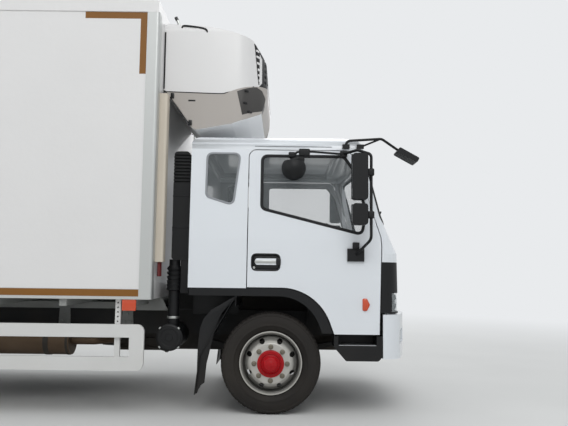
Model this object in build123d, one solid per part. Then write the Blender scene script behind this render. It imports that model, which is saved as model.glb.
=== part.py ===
"""Refrigerated box truck: cab-over chassis, insulated box, cooling unit over the cab.

Millimetres. The truck faces +X, its left side is +Y and it stands on Z = 0.
Pieces are drawn with X = 0 in the middle of the front axle. write() then moves them,
so that the origin lies under the middle of the whole truck.
"""
from build123d import *
import os
from math import cos, radians, sin

# Whole truck, measured along X from the front axle
wheelbase = 4500
front_reach = 1180
box_front = -980
box_length = 6100
box_rear = box_front - box_length
buffer_depth = 50
rear_reach = box_rear - buffer_depth
front_axle_x = -(front_reach + rear_reach) / 2
rear_axle = -wheelbase

# Clearances
touch = 0.3
running = 1.0
door_gap = 8

# Wheels
tyre_r = 420
tyre_width = 248
rim_flange_r = 262
rim_seat_r = 248
rim_well_r = 228
rim_wall = 9
rim_width = 200
disc_offset = 139.5
disc_thickness = 11
bolt_circle_r = 137.5
nut_count = 8
hub_flange_r = 146
hand_hole_r = 23
hand_hole_circle_r = 194
front_wheel_y = 910
rear_wheel_y = 865
dual_half_gap = disc_offset

# Chassis
rail_outer_y = 400
rail_top = 820
rail_height = 225
rail_flange = 65
rail_web = 8
rail_front = 980
rail_rear = box_rear + 120
rail_bottom = rail_top - rail_height
rail_inner_y = rail_outer_y - rail_flange

# Axles and steering
kingpin_y = 780
kingpin_r = 18
beam_half = 45
beam_low = 300
beam_high = 390
eye_low = 375
eye_high = 465
eye_r = 42
jaw_gap = 5
spindle_r = 35
rear_tube_r = 62
rear_spindle_r = 45
diff_r = 190
brake_drum_r = 195

# Box
box_half = 1175
box_bottom = 940
box_top = 3470
wall = 90
trim_t = 8
floor_t = 120
roof_t = 100
post_width = 104
post_r = 24
rail_band = 85
rear_frame_depth = 100
rear_post = 100
sill_h = 120
header_h = 100
door_leaf = 80
bearer_h = 60

# Rear door hinges
pin_behind = 25
pin_outside = 30
hinge_pin_r = 8
barrel_r = 15
barrel_h = 60
lock_bar_r = 13

# Cab
cab_half = 1060
cab_rear = -700
cab_top = 2390
cab_wall = 50
roof_corner_r = 130
cab_lean = 40
cab_belt = 1450
cab_sill = 660
arch_top = 1040
arch_r = 430
arch_corner_x = 377
arch_slope = 0.37
trim_h = 64
roof_seam = 2223
glass_t = 8
glass_depth = 6
floor_plate = 40


def block(x0, x1, y0, y1, z0, z1):
    """Block between two corners."""
    middle = Pos((x0 + x1) / 2, (y0 + y1) / 2, (z0 + z1) / 2)
    return middle * Box(abs(x1 - x0), abs(y1 - y0), abs(z1 - z0))


def drawn_in(corners, inset):
    """The corners of a closed outline, with every side moved in by the inset."""
    area = sum(a[0] * b[1] - b[0] * a[1] for a, b in zip(corners, corners[1:] + corners[:1]))
    turn = 1 if area > 0 else -1
    moved = []
    for before, here, after in zip(corners[-1:] + corners[:-1], corners, corners[1:] + corners[:1]):
        into = Vector(here[0] - before[0], here[1] - before[1]).normalized()
        away = Vector(after[0] - here[0], after[1] - here[1]).normalized()
        left = Vector(-into.Y - away.Y, into.X + away.X).normalized() * turn
        reach = inset / (left.X * -into.Y + left.Y * into.X) * turn
        bend = (into.X * away.Y - into.Y * away.X) * turn
        radius = here[2] if len(here) > 2 else 0
        if radius:
            radius = max(radius - inset if bend > 0 else radius + inset, 1)
        moved.append((here[0] + left.X * reach, here[1] + left.Y * reach, radius))
    return moved


def outline(corners, place, inset=0):
    """Closed face. A corner is (a, b) or (a, b, radius), and place puts it in space."""
    if inset:
        corners = drawn_in(corners, inset)
    points = [place(c[0], c[1]) for c in corners]
    radii = [c[2] if len(c) > 2 else 0 for c in corners]
    if any(radii):
        return make_face(FilletPolyline(*points, radius=radii, close=True))
    return make_face(Polyline(*points, close=True))


def from_side(corners, y0, y1, inset=0):
    """Solid with an (x, z) outline, between two y."""
    face = outline(corners, lambda x, z: (x, y0, z), inset)
    return extrude(face, amount=y1 - y0, dir=(0, 1, 0))


def from_front(corners, x0, x1, inset=0):
    """Solid with a (y, z) outline, between two x."""
    face = outline(corners, lambda y, z: (x0, y, z), inset)
    return extrude(face, amount=x1 - x0, dir=(1, 0, 0))


def from_above(corners, z0, z1, inset=0):
    """Solid with an (x, y) outline, between two z."""
    face = outline(corners, lambda x, y: (x, y, z0), inset)
    return extrude(face, amount=z1 - z0, dir=(0, 0, 1))


def rod(a, b, r):
    """Round bar between two points."""
    start = Vector(*a)
    along = Vector(*b) - start
    return Plane(origin=start, z_dir=along) * Cylinder(
        r, along.length, align=(Align.CENTER, Align.CENTER, Align.MIN))


def bent_rod(points, r, bend):
    """Round bar along a line with arcs at its corners."""
    path = FilletPolyline(*points, radius=bend)
    start = Vector(*points[0])
    first = Plane(origin=start, z_dir=Vector(*points[1]) - start)
    return sweep(first * Circle(r), path=path)


def turned(profile, y, x=0, z=tyre_r):
    """Solid turned about a Y axis. The profile is (radius, distance along the axis)."""
    face = outline(profile, lambda r, w: (r, w, 0))
    return Pos(x, y, z) * revolve(face, Axis.Y)


def other_side(shape):
    """The same piece on the other side of the truck."""
    return mirror(shape, about=Plane.XZ)


def both(shape):
    """A piece and its twin on the other side."""
    return [shape, other_side(shape)]


def write(node, *pieces):
    """Save one node, with its pieces in their place in the whole truck."""
    solids = []
    for piece in pieces:
        solids += piece.solids()
    export_step(Pos(front_axle_x, 0, 0) * Compound(solids), f"parts/{node}.step")


# Wheels, hubs and tyres

def tyre(y):
    """Tyre with rounded shoulders and sidewalls."""
    half = tyre_width / 2
    bead = rim_width / 2 - 17
    profile = [(rim_seat_r, -bead), (rim_flange_r + 4, -bead - 5), (310, -half + 4, 60),
               (345, -half, 40), (405, -half + 12, 18), (tyre_r, -half + 34, 12),
               (tyre_r, half - 34, 12), (405, half - 12, 18), (345, half, 40),
               (310, half - 4, 60), (rim_flange_r + 4, bead + 5), (rim_seat_r, bead),
               (rim_seat_r + 14, bead - 24), (rim_seat_r + 14, 24 - bead)]
    return turned(profile, y)


def wheel(y, out, nut_face):
    """Steel wheel. out is +1 where the disc bulges towards +Y and -1 towards -Y.

    nut_face is "outer" or "inner" for the side of the disc that the nuts are on, or None.
    """
    half = rim_width / 2
    rim = [(rim_flange_r, -half), (rim_flange_r, 7 - half), (rim_seat_r - touch, 16 - half),
           (rim_seat_r - 4, 52 - half), (rim_well_r, 66 - half), (rim_well_r, half - 86),
           (rim_seat_r - 4, half - 52), (rim_seat_r - touch, half - 16),
           (rim_flange_r, half - 7), (rim_flange_r, half),
           (rim_flange_r - rim_wall, half), (rim_seat_r - rim_wall - 2, half - 14),
           (rim_seat_r - rim_wall - 6, half - 54), (rim_well_r - rim_wall, half - 90),
           (rim_well_r - rim_wall, 70 - half), (rim_seat_r - rim_wall - 6, 54 - half),
           (rim_seat_r - rim_wall - 2, 14 - half), (rim_flange_r - rim_wall, -half)]
    back = disc_offset - disc_thickness
    disc = [(rim_well_r - 3, 8), (rim_well_r - 3, 40), (212, 76, 20), (184, 122, 25),
            (165, disc_offset, 12), (83, disc_offset), (83, back), (160, back, 12),
            (174, 114, 25), (202, 70, 20), (rim_well_r - 14, 36), (rim_well_r - 14, 8)]
    body = turned(rim, 0, z=0) + turned(disc, 0, z=0)
    for i in range(nut_count):
        turn = Rot(0, (i + 0.5) * 360 / nut_count, 0)
        body -= turn * rod((hand_hole_circle_r, 40, 0), (hand_hole_circle_r, 200, 0), hand_hole_r)
    nuts = {"outer": (disc_offset - 2, disc_offset + 24), "inner": (back - 24, back + 2)}
    for i in range(nut_count if nut_face else 0):
        turn = Rot(0, i * 360 / nut_count, 0)
        y0, y1 = nuts[nut_face]
        body += turn * rod((bolt_circle_r, y0, 0), (bolt_circle_r, y1, 0), 15)
    if out < 0:
        body = other_side(body)
    return Pos(0, y, tyre_r) * body


def front_hub(y):
    """Brake drum, barrel, flange and cap of a front wheel, open to the spindle."""
    face = y + disc_offset - disc_thickness
    profile = [(spindle_r + touch, y - 48), (brake_drum_r, y - 48), (brake_drum_r, y + 50, 10),
               (90, y + 58), (90, face - 18), (hub_flange_r, face - 18),
               (hub_flange_r, face), (82, face), (82, face + 28), (62, face + 34, 6), (60, face + 62, 14),
               (0, face + 66), (0, face - 4), (spindle_r + touch, face - 4)]
    return turned(profile, 0)


def rear_hub(y):
    """Brake drum, barrel, flange and cap of a rear pair of wheels."""
    face = y - disc_thickness
    profile = [(rear_spindle_r + touch, y - 245), (brake_drum_r, y - 245),
               (brake_drum_r, y - 85, 10),
               (95, y - 50), (95, face - 18), (hub_flange_r, face - 18), (hub_flange_r, face),
               (82, face),
               (82, y + 80), (70, y + 120, 10), (0, y + 124), (0, y + 96),
               (rear_spindle_r + touch, y + 96)]
    return turned(profile, 0)


def write_wheels():
    """Front wheels and the rear twin wheels, a tyre node, a wheel node and a hub node each."""
    inner = rear_wheel_y - dual_half_gap
    outer = rear_wheel_y + dual_half_gap
    at_rear = Pos(rear_axle, 0, 0)
    for side, flip in (("left", lambda s: s), ("right", other_side)):
        write(f"tyre_front_{side}", flip(tyre(front_wheel_y)))
        write(f"wheel_front_{side}", flip(wheel(front_wheel_y, 1, "outer")))
        write(f"hub_front_{side}", flip(front_hub(front_wheel_y)))
        write(f"tyres_rear_{side}", flip(at_rear * tyre(inner)), flip(at_rear * tyre(outer)))
        twins = wheel(inner, 1, None) + wheel(outer, -1, "inner")
        write(f"wheels_rear_{side}", flip(at_rear * twins))
        write(f"hub_rear_{side}", flip(at_rear * rear_hub(rear_wheel_y)))


# Axles, springs and driveline

def front_axle():
    """Drop beam with an eye for the kingpin at each end."""
    rise = 520
    reach = 700
    beam = from_front([(-rise, beam_low), (-reach, eye_low), (-kingpin_y, eye_low),
                       (-kingpin_y, eye_high), (-reach, eye_high), (-rise, beam_high),
                       (rise, beam_high), (reach, eye_high), (kingpin_y, eye_high),
                       (kingpin_y, eye_low), (reach, eye_low), (rise, beam_low)],
                      -beam_half + 5, beam_half - 5)
    for y in (-kingpin_y, kingpin_y):
        beam += rod((0, y, eye_low), (0, y, eye_high), eye_r)
    for y in (-kingpin_y, kingpin_y):
        beam -= rod((0, y, eye_low - 1), (0, y, eye_high + 1), kingpin_r + running)
    return beam


def knuckle():
    """Left steering knuckle: two jaws, the kingpin and the spindle."""
    low = eye_low - jaw_gap
    high = eye_high + jaw_gap
    inside = kingpin_y + eye_r + 8
    plate = inside + 24
    jaw = 40
    body = block(-45, 45, inside, plate, low - jaw, high + jaw)
    for z0, z1 in ((low - jaw, low), (high, high + jaw)):
        body += block(-40, 40, kingpin_y, inside, z0, z1)
        body += rod((0, kingpin_y, z0), (0, kingpin_y, z1), 40)
    body += rod((0, kingpin_y, low - jaw), (0, kingpin_y, high + jaw), kingpin_r)
    body += rod((0, plate - 2, tyre_r), (0, front_wheel_y + disc_offset - 30, tyre_r), spindle_r)
    return body


def rear_axle_body():
    """Axle tube with the differential, the spindles and the propeller shaft."""
    tube_end = rear_wheel_y - 262
    spindle_end = rear_wheel_y + 80
    body = rod((rear_axle, -tube_end, tyre_r), (rear_axle, tube_end, tyre_r), rear_tube_r)
    body += rod((rear_axle, -spindle_end, tyre_r), (rear_axle, spindle_end, tyre_r),
                rear_spindle_r)
    body += Pos(rear_axle, 0, tyre_r) * Sphere(diff_r)
    body += rod((rear_axle, 0, tyre_r), (rear_axle + 330, 0, tyre_r + 30), 80)
    body += rod((rear_axle + 300, 0, tyre_r + 27), (gearbox_rear - 5, 0, shaft_z), 45)
    return body


gearbox_rear = -1050
engine_rear = -450
engine_front = 640
shaft_z = 560


def engine_block():
    """Engine and gearbox, as plain blocks of their real size."""
    engine = block(engine_rear, engine_front, -290, 290, 450, 950)
    web = rail_outer_y - rail_web
    for x in (-150, 350):
        engine += block(x - 50, x + 50, -web, web, 640, 700)
    return engine + block(gearbox_rear, engine_rear, -190, 190, 430, 760)


def leaf_spring(x, y, half_width, seat, eye_z, half_length, stack):
    """Leaf pack on an axle, with the hangers that carry its ends."""
    low = ThreePointArc((x - half_length, y - half_width, eye_z), (x, y - half_width, seat),
                        (x + half_length, y - half_width, eye_z))
    end = Line((x + half_length, y - half_width, eye_z),
               (x + half_length, y - half_width, eye_z + 26))
    high = ThreePointArc((x + half_length, y - half_width, eye_z + 26),
                         (x, y - half_width, seat + stack),
                         (x - half_length, y - half_width, eye_z + 26))
    back = Line((x - half_length, y - half_width, eye_z + 26),
                (x - half_length, y - half_width, eye_z))
    face = make_face([low, end, high, back])
    return extrude(face, amount=2 * half_width, dir=(0, 1, 0))


def springs():
    """Front and rear leaf springs, fused to their hangers and seats."""
    front_y = rail_outer_y - 35
    rear_y = rail_outer_y + 60
    front = leaf_spring(0, front_y, 33, beam_high + 6, 530, 620, 76)
    front += block(-50, 50, front_y - 33, front_y + 33, beam_high, beam_high + 20)
    for x in (-620, 620):
        front += block(x - 25, x + 25, front_y - 30, front_y + 30, 525, rail_bottom)
    seat = tyre_r + rear_tube_r
    rear = leaf_spring(rear_axle, rear_y, 37, seat + 6, 600, 720, 100)
    rear += block(rear_axle - 60, rear_axle + 60, rear_y - 37, rear_y + 37, seat - 12, seat + 20)
    rear -= rod((rear_axle, 0, tyre_r), (rear_axle, 700, tyre_r), rear_tube_r)
    for x in (rear_axle - 720, rear_axle + 720):
        rear += block(x - 30, x + 30, rail_outer_y, rear_y + 30, 595, 740)
    return both(front) + both(rear)


# Chassis

crossmember_x = (920, -1150, -1950, -2750, -3550, -5020, -5700, -6350, -6930)
crossmember_h = 150


def chassis_rails():
    """Two C-section side rails."""
    inner = rail_inner_y
    section = [(inner, rail_bottom), (rail_outer_y, rail_bottom), (rail_outer_y, rail_top),
               (inner, rail_top), (inner, rail_top - rail_web),
               (rail_outer_y - rail_web, rail_top - rail_web),
               (rail_outer_y - rail_web, rail_bottom + rail_web), (inner, rail_bottom + rail_web)]
    return both(from_front(section, rail_rear, rail_front))


tow_bore_r = 19
tow_ear_t = 40
tow_x = front_reach - 90
tow_z = 700


def crossmembers():
    """Channels between the rails. The first carries the towing ear."""
    reach = rail_outer_y - rail_web
    top = rail_top - rail_web - 10
    pieces = []
    for x in crossmember_x:
        web = block(x - 4, x + 4, -reach, reach, top - crossmember_h, top)
        web += block(x - 4, x + 56, -reach, reach, top - 8, top)
        web += block(x - 4, x + 56, -reach, reach, top - crossmember_h, top - crossmember_h + 8)
        pieces.append(web)
    ear = block(crossmember_x[0], tow_x, -45, 45, tow_z - tow_ear_t / 2, tow_z + tow_ear_t / 2)
    ear += rod((tow_x, 0, tow_z - tow_ear_t / 2), (tow_x, 0, tow_z + tow_ear_t / 2), 45)
    ear -= rod((tow_x, 0, tow_z - 50), (tow_x, 0, tow_z + 50), tow_bore_r)
    pieces[0] += ear
    return pieces


def box_bearers():
    """Sub-rails on the chassis and the cross bearers under the box floor."""
    body = None
    for y in (-rail_outer_y, rail_inner_y):
        rail = block(box_rear + 90, box_front - 60, y, y + rail_flange, rail_top, box_bottom - 60)
        body = rail if body is None else body + rail
    count = 11
    pitch = (box_length - 360) / (count - 1)
    for i in range(count):
        x = box_front - 160 - i * pitch
        body += block(x - 30, x + 30, -box_half + 45, box_half - 45,
                      box_bottom - bearer_h, box_bottom)
    return body


def underrun_bar():
    """Rear underrun bar on two drop brackets."""
    x = box_rear + 60
    bar = block(x, x + 80, -1120, 1120, 430, 550)
    for y in (-rail_outer_y + 40, rail_outer_y - 100):
        bar += block(x + 10, x + 70, y, y + 60, 500, rail_bottom)
    return bar


# Insulated box

def box_floor():
    """Floor slab between the walls."""
    side = box_half - wall
    return block(box_rear + rear_frame_depth, box_front - wall, -side, side,
                 box_bottom, box_bottom + floor_t)


def box_walls():
    """Two side walls, from the corner posts to the rear frame."""
    outer = box_half - trim_t
    right = block(box_rear + rear_frame_depth, box_front - trim_t, outer - wall + trim_t, outer,
                  box_bottom, box_top - roof_t)
    return both(right)


def box_front_wall():
    """Front wall between the side walls."""
    side = box_half - wall
    return block(box_front - wall, box_front - trim_t, -side, side, box_bottom, box_top - roof_t)


def box_roof():
    """Roof panel over the walls."""
    return block(box_rear + rear_frame_depth, box_front - trim_t, -box_half, box_half,
                 box_top - roof_t, box_top)


def box_trims():
    """Corner posts, the rails along the edges and the strips of the front corners."""
    outer = box_half
    inner = box_half - trim_t
    low = box_bottom
    high = box_top - roof_t
    post = from_above([(box_front - post_width, inner), (box_front - post_width, outer),
                       (box_front, outer, post_r), (box_front, outer - post_width),
                       (box_front - trim_t, outer - post_width), (box_front - trim_t, inner)],
                      low, high)
    rail_rear_end = box_rear + rear_frame_depth
    post += block(rail_rear_end, box_front - post_width, inner, outer, low, low + rail_band)
    return both(post)


def rear_frame():
    """Portal of the rear doors with its hinge barrels and pins."""
    back = box_rear
    front = box_rear + rear_frame_depth
    frame = block(back, front, -box_half, box_half, box_bottom, box_top)
    frame -= block(back - 1, front + 1, -box_half + rear_post, box_half - rear_post,
                   box_bottom + sill_h, box_top - header_h)
    pin_x = back - pin_behind
    for side in (-1, 1):
        pin_y = side * (box_half + pin_outside)
        for z in hinge_heights():
            half = barrel_h / 2
            for z0, z1 in ((z - half - 5 - 40, z - half - 5), (z + half + 5, z + half + 45)):
                lug = rod((pin_x, pin_y, z0), (pin_x, pin_y, z1), barrel_r)
                inside = side * (box_half - 20)
                lug += block(pin_x + 2, pin_x + 12, inside, pin_y, z0, z1)
                lug += block(pin_x + 2, back + 1, inside, side * (box_half), z0, z1)
                frame += lug
            frame += rod((pin_x, pin_y, z - half - 10), (pin_x, pin_y, z + half + 10), hinge_pin_r)
    for y in (-800, 800):
        frame += block(rear_reach, back + 1, y - 60, y + 60, box_bottom + 5, box_bottom + 105)
    return frame


def hinge_heights():
    """Heights of the four hinges of a rear door."""
    low = box_bottom + sill_h + 200
    high = box_top - header_h - 200
    return [low + i * (high - low) / 3 for i in range(4)]


def rear_door():
    """Left rear door: leaf, hinge straps, lock bars and their guides."""
    x0 = box_rear
    edge = box_half - rear_post - door_gap
    centre = 7
    low = box_bottom + sill_h + door_gap
    high = box_top - header_h - door_gap
    leaf = block(x0, x0 + door_leaf, centre, edge, low, high)
    pin_x = box_rear - pin_behind
    pin_y = box_half + pin_outside
    half = barrel_h / 2
    for z in hinge_heights():
        strap = block(x0 - 16, x0 - 6, edge - 230, pin_y, z - half, z + half)
        strap += block(x0 - 8, x0 + 1, edge - 230, edge - 5, z - half, z + half)
        strap += rod((pin_x, pin_y, z - half), (pin_x, pin_y, z + half), barrel_r)
        strap -= rod((pin_x, pin_y, z - half - 5), (pin_x, pin_y, z + half + 5),
                     hinge_pin_r + running)
        leaf += strap
    for y in (centre + 150, centre + 560):
        bar_x = x0 - 24
        leaf += rod((bar_x, y, low + 20), (bar_x, y, high - 20), lock_bar_r)
        for z in (low + 60, low + 560, (low + high) / 2, high - 560, high - 60):
            leaf += block(x0 - 36, x0 + 1, y - 30, y + 30, z - 25, z + 25)
        leaf += block(x0 - 36, x0 - 18, y - 10, y + 330, low + 300, low + 330)
        leaf += block(x0 - 20, x0 + 1, y + 280, y + 320, low + 290, low + 340)
    return leaf


# Cooling unit over the cab

unit_half = 885
unit_back = box_front - trim_t
unit_front = box_front + 910
unit_profile = [(unit_back, -690), (box_front + 87, -804), (box_front + 245, -1025, 30),
                (box_front + 283, -1051, 30), (unit_front - 305, -991, 60),
                (unit_front - 172, -935, 60), (unit_front - 54, -859, 50),
                (unit_front - 10, -701, 90), (unit_front, -540, 150), (unit_front - 12, -367, 90),
                (unit_front - 127, -204, 60), (unit_front - 530, -101, 200), (unit_back, -73, 30)]
seam_line = [(unit_back, -711), (unit_front - 390, -725), (unit_front - 76, -610),
             (unit_front + 50, -590)]
vent_line = [(unit_front - 162, -70), (unit_front - 120, -198), (unit_front - 52, -350),
             (unit_front - 50, -570), (unit_front - 76, -610), (unit_front + 70, -610),
             (unit_front + 70, -70)]
side_panel = [(unit_front - 265, -698), (unit_front - 95, -621, 10), (unit_front - 48, -641, 10),
              (unit_front - 18, -702, 20), (unit_front - 36, -825, 20), (unit_front - 216, -908)]
side_panel_depth = 6
vent_slots = 6
vent_pitch = 52
vent_slot_h = 26


def below_top(corners):
    """Corners whose heights are given from the box's top."""
    return [(c[0], box_top + c[1], *c[2:]) for c in corners]


def unit_body(inset=0):
    """Whole housing of the cooling unit, or its form at some depth below the surface."""
    plan = [(unit_back, -unit_half), (unit_front - 210, -unit_half, 190),
            (unit_front + 10, -unit_half + 260, 300), (unit_front + 10, unit_half - 260, 300),
            (unit_front - 210, unit_half, 190), (unit_back, unit_half)]
    front = [(-unit_half, -1090), (-unit_half, -50, 110), (unit_half, -50, 110),
             (unit_half, -1090)]
    body = from_side(below_top(unit_profile), -unit_half, unit_half, inset)
    body = body & from_above(plan, box_top - 1170, box_top + 30, inset)
    return body & from_front(below_top(front), unit_back - 10, unit_front + 90, inset)


def panel_form(depth, margin):
    """The part of the housing's skin that lies in the side panels' outline."""
    skin = unit_body(depth) - unit_body(side_panel_depth - margin)
    zone = from_side(below_top(side_panel), unit_half - 330, unit_half + 10, margin)
    return both(skin & zone)


def write_unit():
    """Upper shell, lower shell and front grille of the cooling unit."""
    body = unit_body()
    vent_zone = from_side(below_top(vent_line), -unit_half + 150, unit_half - 150)
    low = [(unit_front + 50, -1170), (unit_back, -1170)]
    below = from_side(below_top(seam_line + low), -unit_half - 100, unit_half + 100)
    lower = body & below
    for pocket in panel_form(-2, 0):
        lower -= pocket
    upper = (body - below) - vent_zone
    mesh = body & vent_zone
    for i in range(vent_slots):
        z = box_top - 565 + i * vent_pitch
        mesh -= block(unit_front - 30, unit_front + 90, -unit_half + 210, unit_half - 210,
                      z, z + vent_slot_h)
    write("unit_upper_shell", upper)
    write("unit_lower_shell", lower)
    write("unit_grille", mesh - below, *panel_form(1, touch))


def hose_cover():
    """Channel over the hoses on the front wall, with the hose ends below it."""
    x0 = box_front - trim_t
    y0 = -box_half + 190
    low = box_bottom + 310
    cover = from_above([(x0, y0 - 60), (x0 + 70, y0 - 60, 18), (x0 + 70, y0 + 60, 18),
                        (x0, y0 + 60)], low, box_top - 770)
    for y in (y0 - 28, y0, y0 + 28):
        cover += rod((x0 + 32, y, low - 120), (x0 + 32, y, low + 10), 11)
    return cover


# Cab

def front_line(x, inset=0):
    """Corners of the cab's plan outline whose foremost point is at x, seen from above."""
    half = cab_half
    corner = 150
    back = -1500
    return [(back, -half), (x - 45, -half, corner), (x, -450, 900), (x, 450, 900),
            (x - 45, half, corner), (back, half)]


def leaning_plan(x0, z0, x1, z1, inset):
    """Plan outline at z0, drawn up along the slope to z1."""
    face = outline(front_line(x0), lambda x, y: (x, y, z0), inset)
    rise = Vector(x1 - x0, 0, z1 - z0)
    return extrude(face, amount=rise.length, dir=rise)


cab_front_stations = [(1118, 600), (1103, 1341), (995, 1587), (777, 2400)]


def cab_form(inset):
    """Outer form of the cab, or the form at some depth below its surface."""
    front = None
    for (x0, z0), (x1, z1) in zip(cab_front_stations, cab_front_stations[1:]):
        part = leaning_plan(x0, z0, x1, z1, inset)
        front = part if front is None else front + part
    low = 2 * cab_belt - cab_top
    section = [(-cab_half - cab_lean, low), (-cab_half + cab_lean, cab_top, roof_corner_r),
               (cab_half - cab_lean, cab_top, roof_corner_r), (cab_half + cab_lean, low)]
    side = [(cab_rear, 400), (cab_rear, cab_top, 110), (620, cab_top, 250), (1350, 1972),
            (1350, 400)]
    body = from_front(section, -1400, 1300, inset) & from_side(side, -1200, 1200, inset)
    return front & body


def below_cab(drop=0):
    """All that lies under the sill and the wheel arch. drop lowers it, or lifts it if negative."""
    sill = cab_sill - min(drop, 0)
    corners = [(-900, arch_top - drop), (arch_corner_x - drop, arch_top - drop, arch_r - drop),
               (arch_corner_x - drop + arch_slope * (arch_top - drop - sill), sill),
               (1400, sill), (1400, 300), (-900, 300)]
    return from_side(corners, -1300, 1300)


door_outline = [(-207, 600), (-203, 2215, 60), (655, 2215, 70), (790, 1850, 0), (912, 1480, 60),
                (918, 1400, 60), (900, 600)]
door_window = [(-90, 1714, 35), (-90, 2163, 45), (600, 2163, 60), (690, 2040, 60),
               (785, 1700, 60), (753, 1505, 45)]
quarter_window = [(-565, 1812, 40), (-562, 2181, 45), (-285, 2181, 45), (-338, 1742, 40)]
windscreen_low = 1600
windscreen_high = 2195
bumper_low = 470
bumper_top = 835
fog_low = 590
fog_high = 705
fog_recess = 30
deflector_low = bumper_top + 10
deflector_high = 1270
head_low = 856
head_high = 1012
grille_low = 900
grille_high = 1250
grille_half = 590
grille_rim = 32
grille_depth = 10
slat_h = 24
slot_count = 5
flare_h = 112
flare_t = 5


def windscreen_zone(margin):
    """Block through the windscreen opening, smaller by the margin."""
    low = windscreen_low + margin
    high = windscreen_high - margin
    half = 1000 - margin
    return from_front([(-half, low, 60), (half, low, 60), (half - 35, high, 60),
                       (-half + 35, high, 60)], 640, 1300)


def grille_zone(margin):
    """Block through the grille opening, smaller by the margin."""
    low = grille_low + margin
    high = grille_high - margin
    half = grille_half - margin
    return from_front([(-half, low, 50), (-half, high, 50), (half, high, 50), (half, low, 50)],
                      900, 1300)


def front_grille():
    """Grille between the headlamps: a frame with slats and a rib in the middle."""
    body = (cab_form(grille_depth) - cab_form(cab_wall - 6)) & grille_zone(touch)
    pitch = (grille_high - grille_low - 2 * grille_rim + slat_h) / slot_count
    for i in range(slot_count):
        low = grille_low + grille_rim + i * pitch
        high = low + pitch - slat_h
        for side in (-1, 1):
            y0, y1 = sorted((side * slat_h, side * (grille_half - grille_rim)))
            body -= from_front([(y0, low, 8), (y0, high, 8), (y1, high, 8), (y1, low, 8)], 900, 1300)
    return body


def arch_flare():
    """Raised band of the left side, along the sill of the wheel arch."""
    band = below_cab(-flare_h) & block(cab_rear, 880, cab_half - 2, cab_half + flare_t, 500, 1300)
    return band


def write_cab():
    """Roof, rear body, front, doors and glass, cut from one form."""
    outer = cab_form(0)
    shell = outer - cab_form(cab_wall) - below_cab()
    pane = cab_form(glass_depth) - cab_form(glass_depth + glass_t)
    doorway = from_side(door_outline, -1300, 1300, -door_gap)
    doorway = doorway - block(-1000, 1300, -1300, 1300, -100, cab_sill)
    door_body = from_side(door_outline, 500, 1300)
    window = from_side(door_window, 500, 1300)
    quarter = from_side(quarter_window, -1300, 1300)
    windscreen = windscreen_zone(0)
    above = block(-1500, 1500, -1300, 1300, roof_seam, 2600)
    corner = block(900, 1300, 620, 1300, deflector_low - 5, deflector_high)
    corners = corner + other_side(corner)
    fixed = shell - doorway
    write("cab_roof", fixed & above)
    low = fixed - above
    behind = block(-1500, 200, -1300, 1300, 500, 2600)
    flare = arch_flare() - below_cab()
    rear_flare = (flare - doorway) & behind
    write("cab_rear_body", (low & behind) - quarter + rear_flare + other_side(rear_flare))
    nose = (low - behind) - windscreen - block(880, 1300, -1300, 1300, 500, bumper_top + 10)
    nose = nose - grille_zone(0)
    lamp = block(1010, 1300, 640, 1300, head_low, head_high)
    lamps = lamp + other_side(lamp)
    write("cab_front", nose - corners)
    write("front_grille", front_grille())
    write("corner_deflectors", (nose & corners) - lamps)
    write("cab_glass", pane & windscreen, pane & from_side(quarter_window, 500, 1300),
          pane & from_side(quarter_window, -1300, -500))
    left_door = (shell + arch_flare()) & door_body
    left_door = left_door - window - below_cab(-door_gap)
    recess = from_side([(-168, 1192, 40), (-168, 1324, 40), (64, 1324, 40), (64, 1192, 40)],
                       cab_half - 24, cab_half + 20)
    handle = from_side([(-140, 1236, 18), (-140, 1290, 18), (72, 1290, 18), (72, 1236, 18)],
                       cab_half - 12, cab_half + 4)
    left_door = (left_door - recess) + handle
    left_glass = pane & window
    write("door_left", left_door)
    write("door_right", other_side(left_door))
    write("door_glass_left", left_glass)
    write("door_glass_right", other_side(left_glass))
    return (cab_form(glass_depth) - cab_form(cab_wall)) & lamps


def cab_floor():
    """Floor of the cab: flat over the engine, with a foot well at each side in front."""
    half = cab_half
    rear = cab_rear + cab_wall + touch
    top = arch_top
    low = cab_sill + 40
    front = 1040
    stepped = [(rear, top), (330, top, 60), (560, low + floor_plate, 60),
               (front, low + floor_plate), (front, low), (545, low, 60),
               (315, top - floor_plate, 60), (rear, top - floor_plate)]
    tunnel = rail_outer_y + 40
    body = from_side(stepped, -half, -tunnel) + from_side(stepped, tunnel, half)
    body += block(rear, front, -tunnel, tunnel, top - floor_plate, top)
    for y in (-tunnel - floor_plate, tunnel):
        body += block(320, front, y, y + floor_plate, low, top)
    return body & cab_form(cab_wall + touch)


def arch_trims():
    """Black lips round the front wheel arches and the mudguards behind the wheels."""
    lip = below_cab() - below_cab(trim_h)
    lip = lip & block(cab_rear + 10, 600, cab_half - cab_wall, cab_half + 6, cab_sill + 14, 1100)
    top = arch_top - trim_h + 4
    guard = from_side([(-300, top), (-594, 474, 40), (-628, 163), (-622, 163), (-588, 474, 40),
                       (-294, top)], 700, cab_half)
    guard += block(-300, -294, rail_inner_y, cab_half, top - 90, top)
    guard += block(-300, -294, rail_inner_y, rail_outer_y, rail_top, top)
    lip += guard
    return both(lip)


def entry_steps():
    """Step wells under the doors."""
    outer = cab_half - 10
    well = from_side([(525, cab_sill - 6), (525, 560, 0), (625, 448, 20), (895, 448, 30),
                      (915, 470), (915, cab_sill - 6)], outer - 230, outer)
    well -= block(560, 880, outer - 200, outer + 10, 575, cab_sill + 20)
    well += block(540, 900, outer - 230, outer - 202, 560, cab_sill + 40)
    return both(well)


def bumper_form(inset):
    """Solid form of the bumper, or the form at some depth below its front."""
    x = front_reach
    half = cab_half + 10
    back = 930 - inset
    plan = [(back, -half), (x - 115, -half, 165), (x, -600, 800), (x, 600, 800),
            (x - 115, half, 165), (back, half)]
    return from_above(plan, bumper_low, bumper_top, inset)


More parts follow.
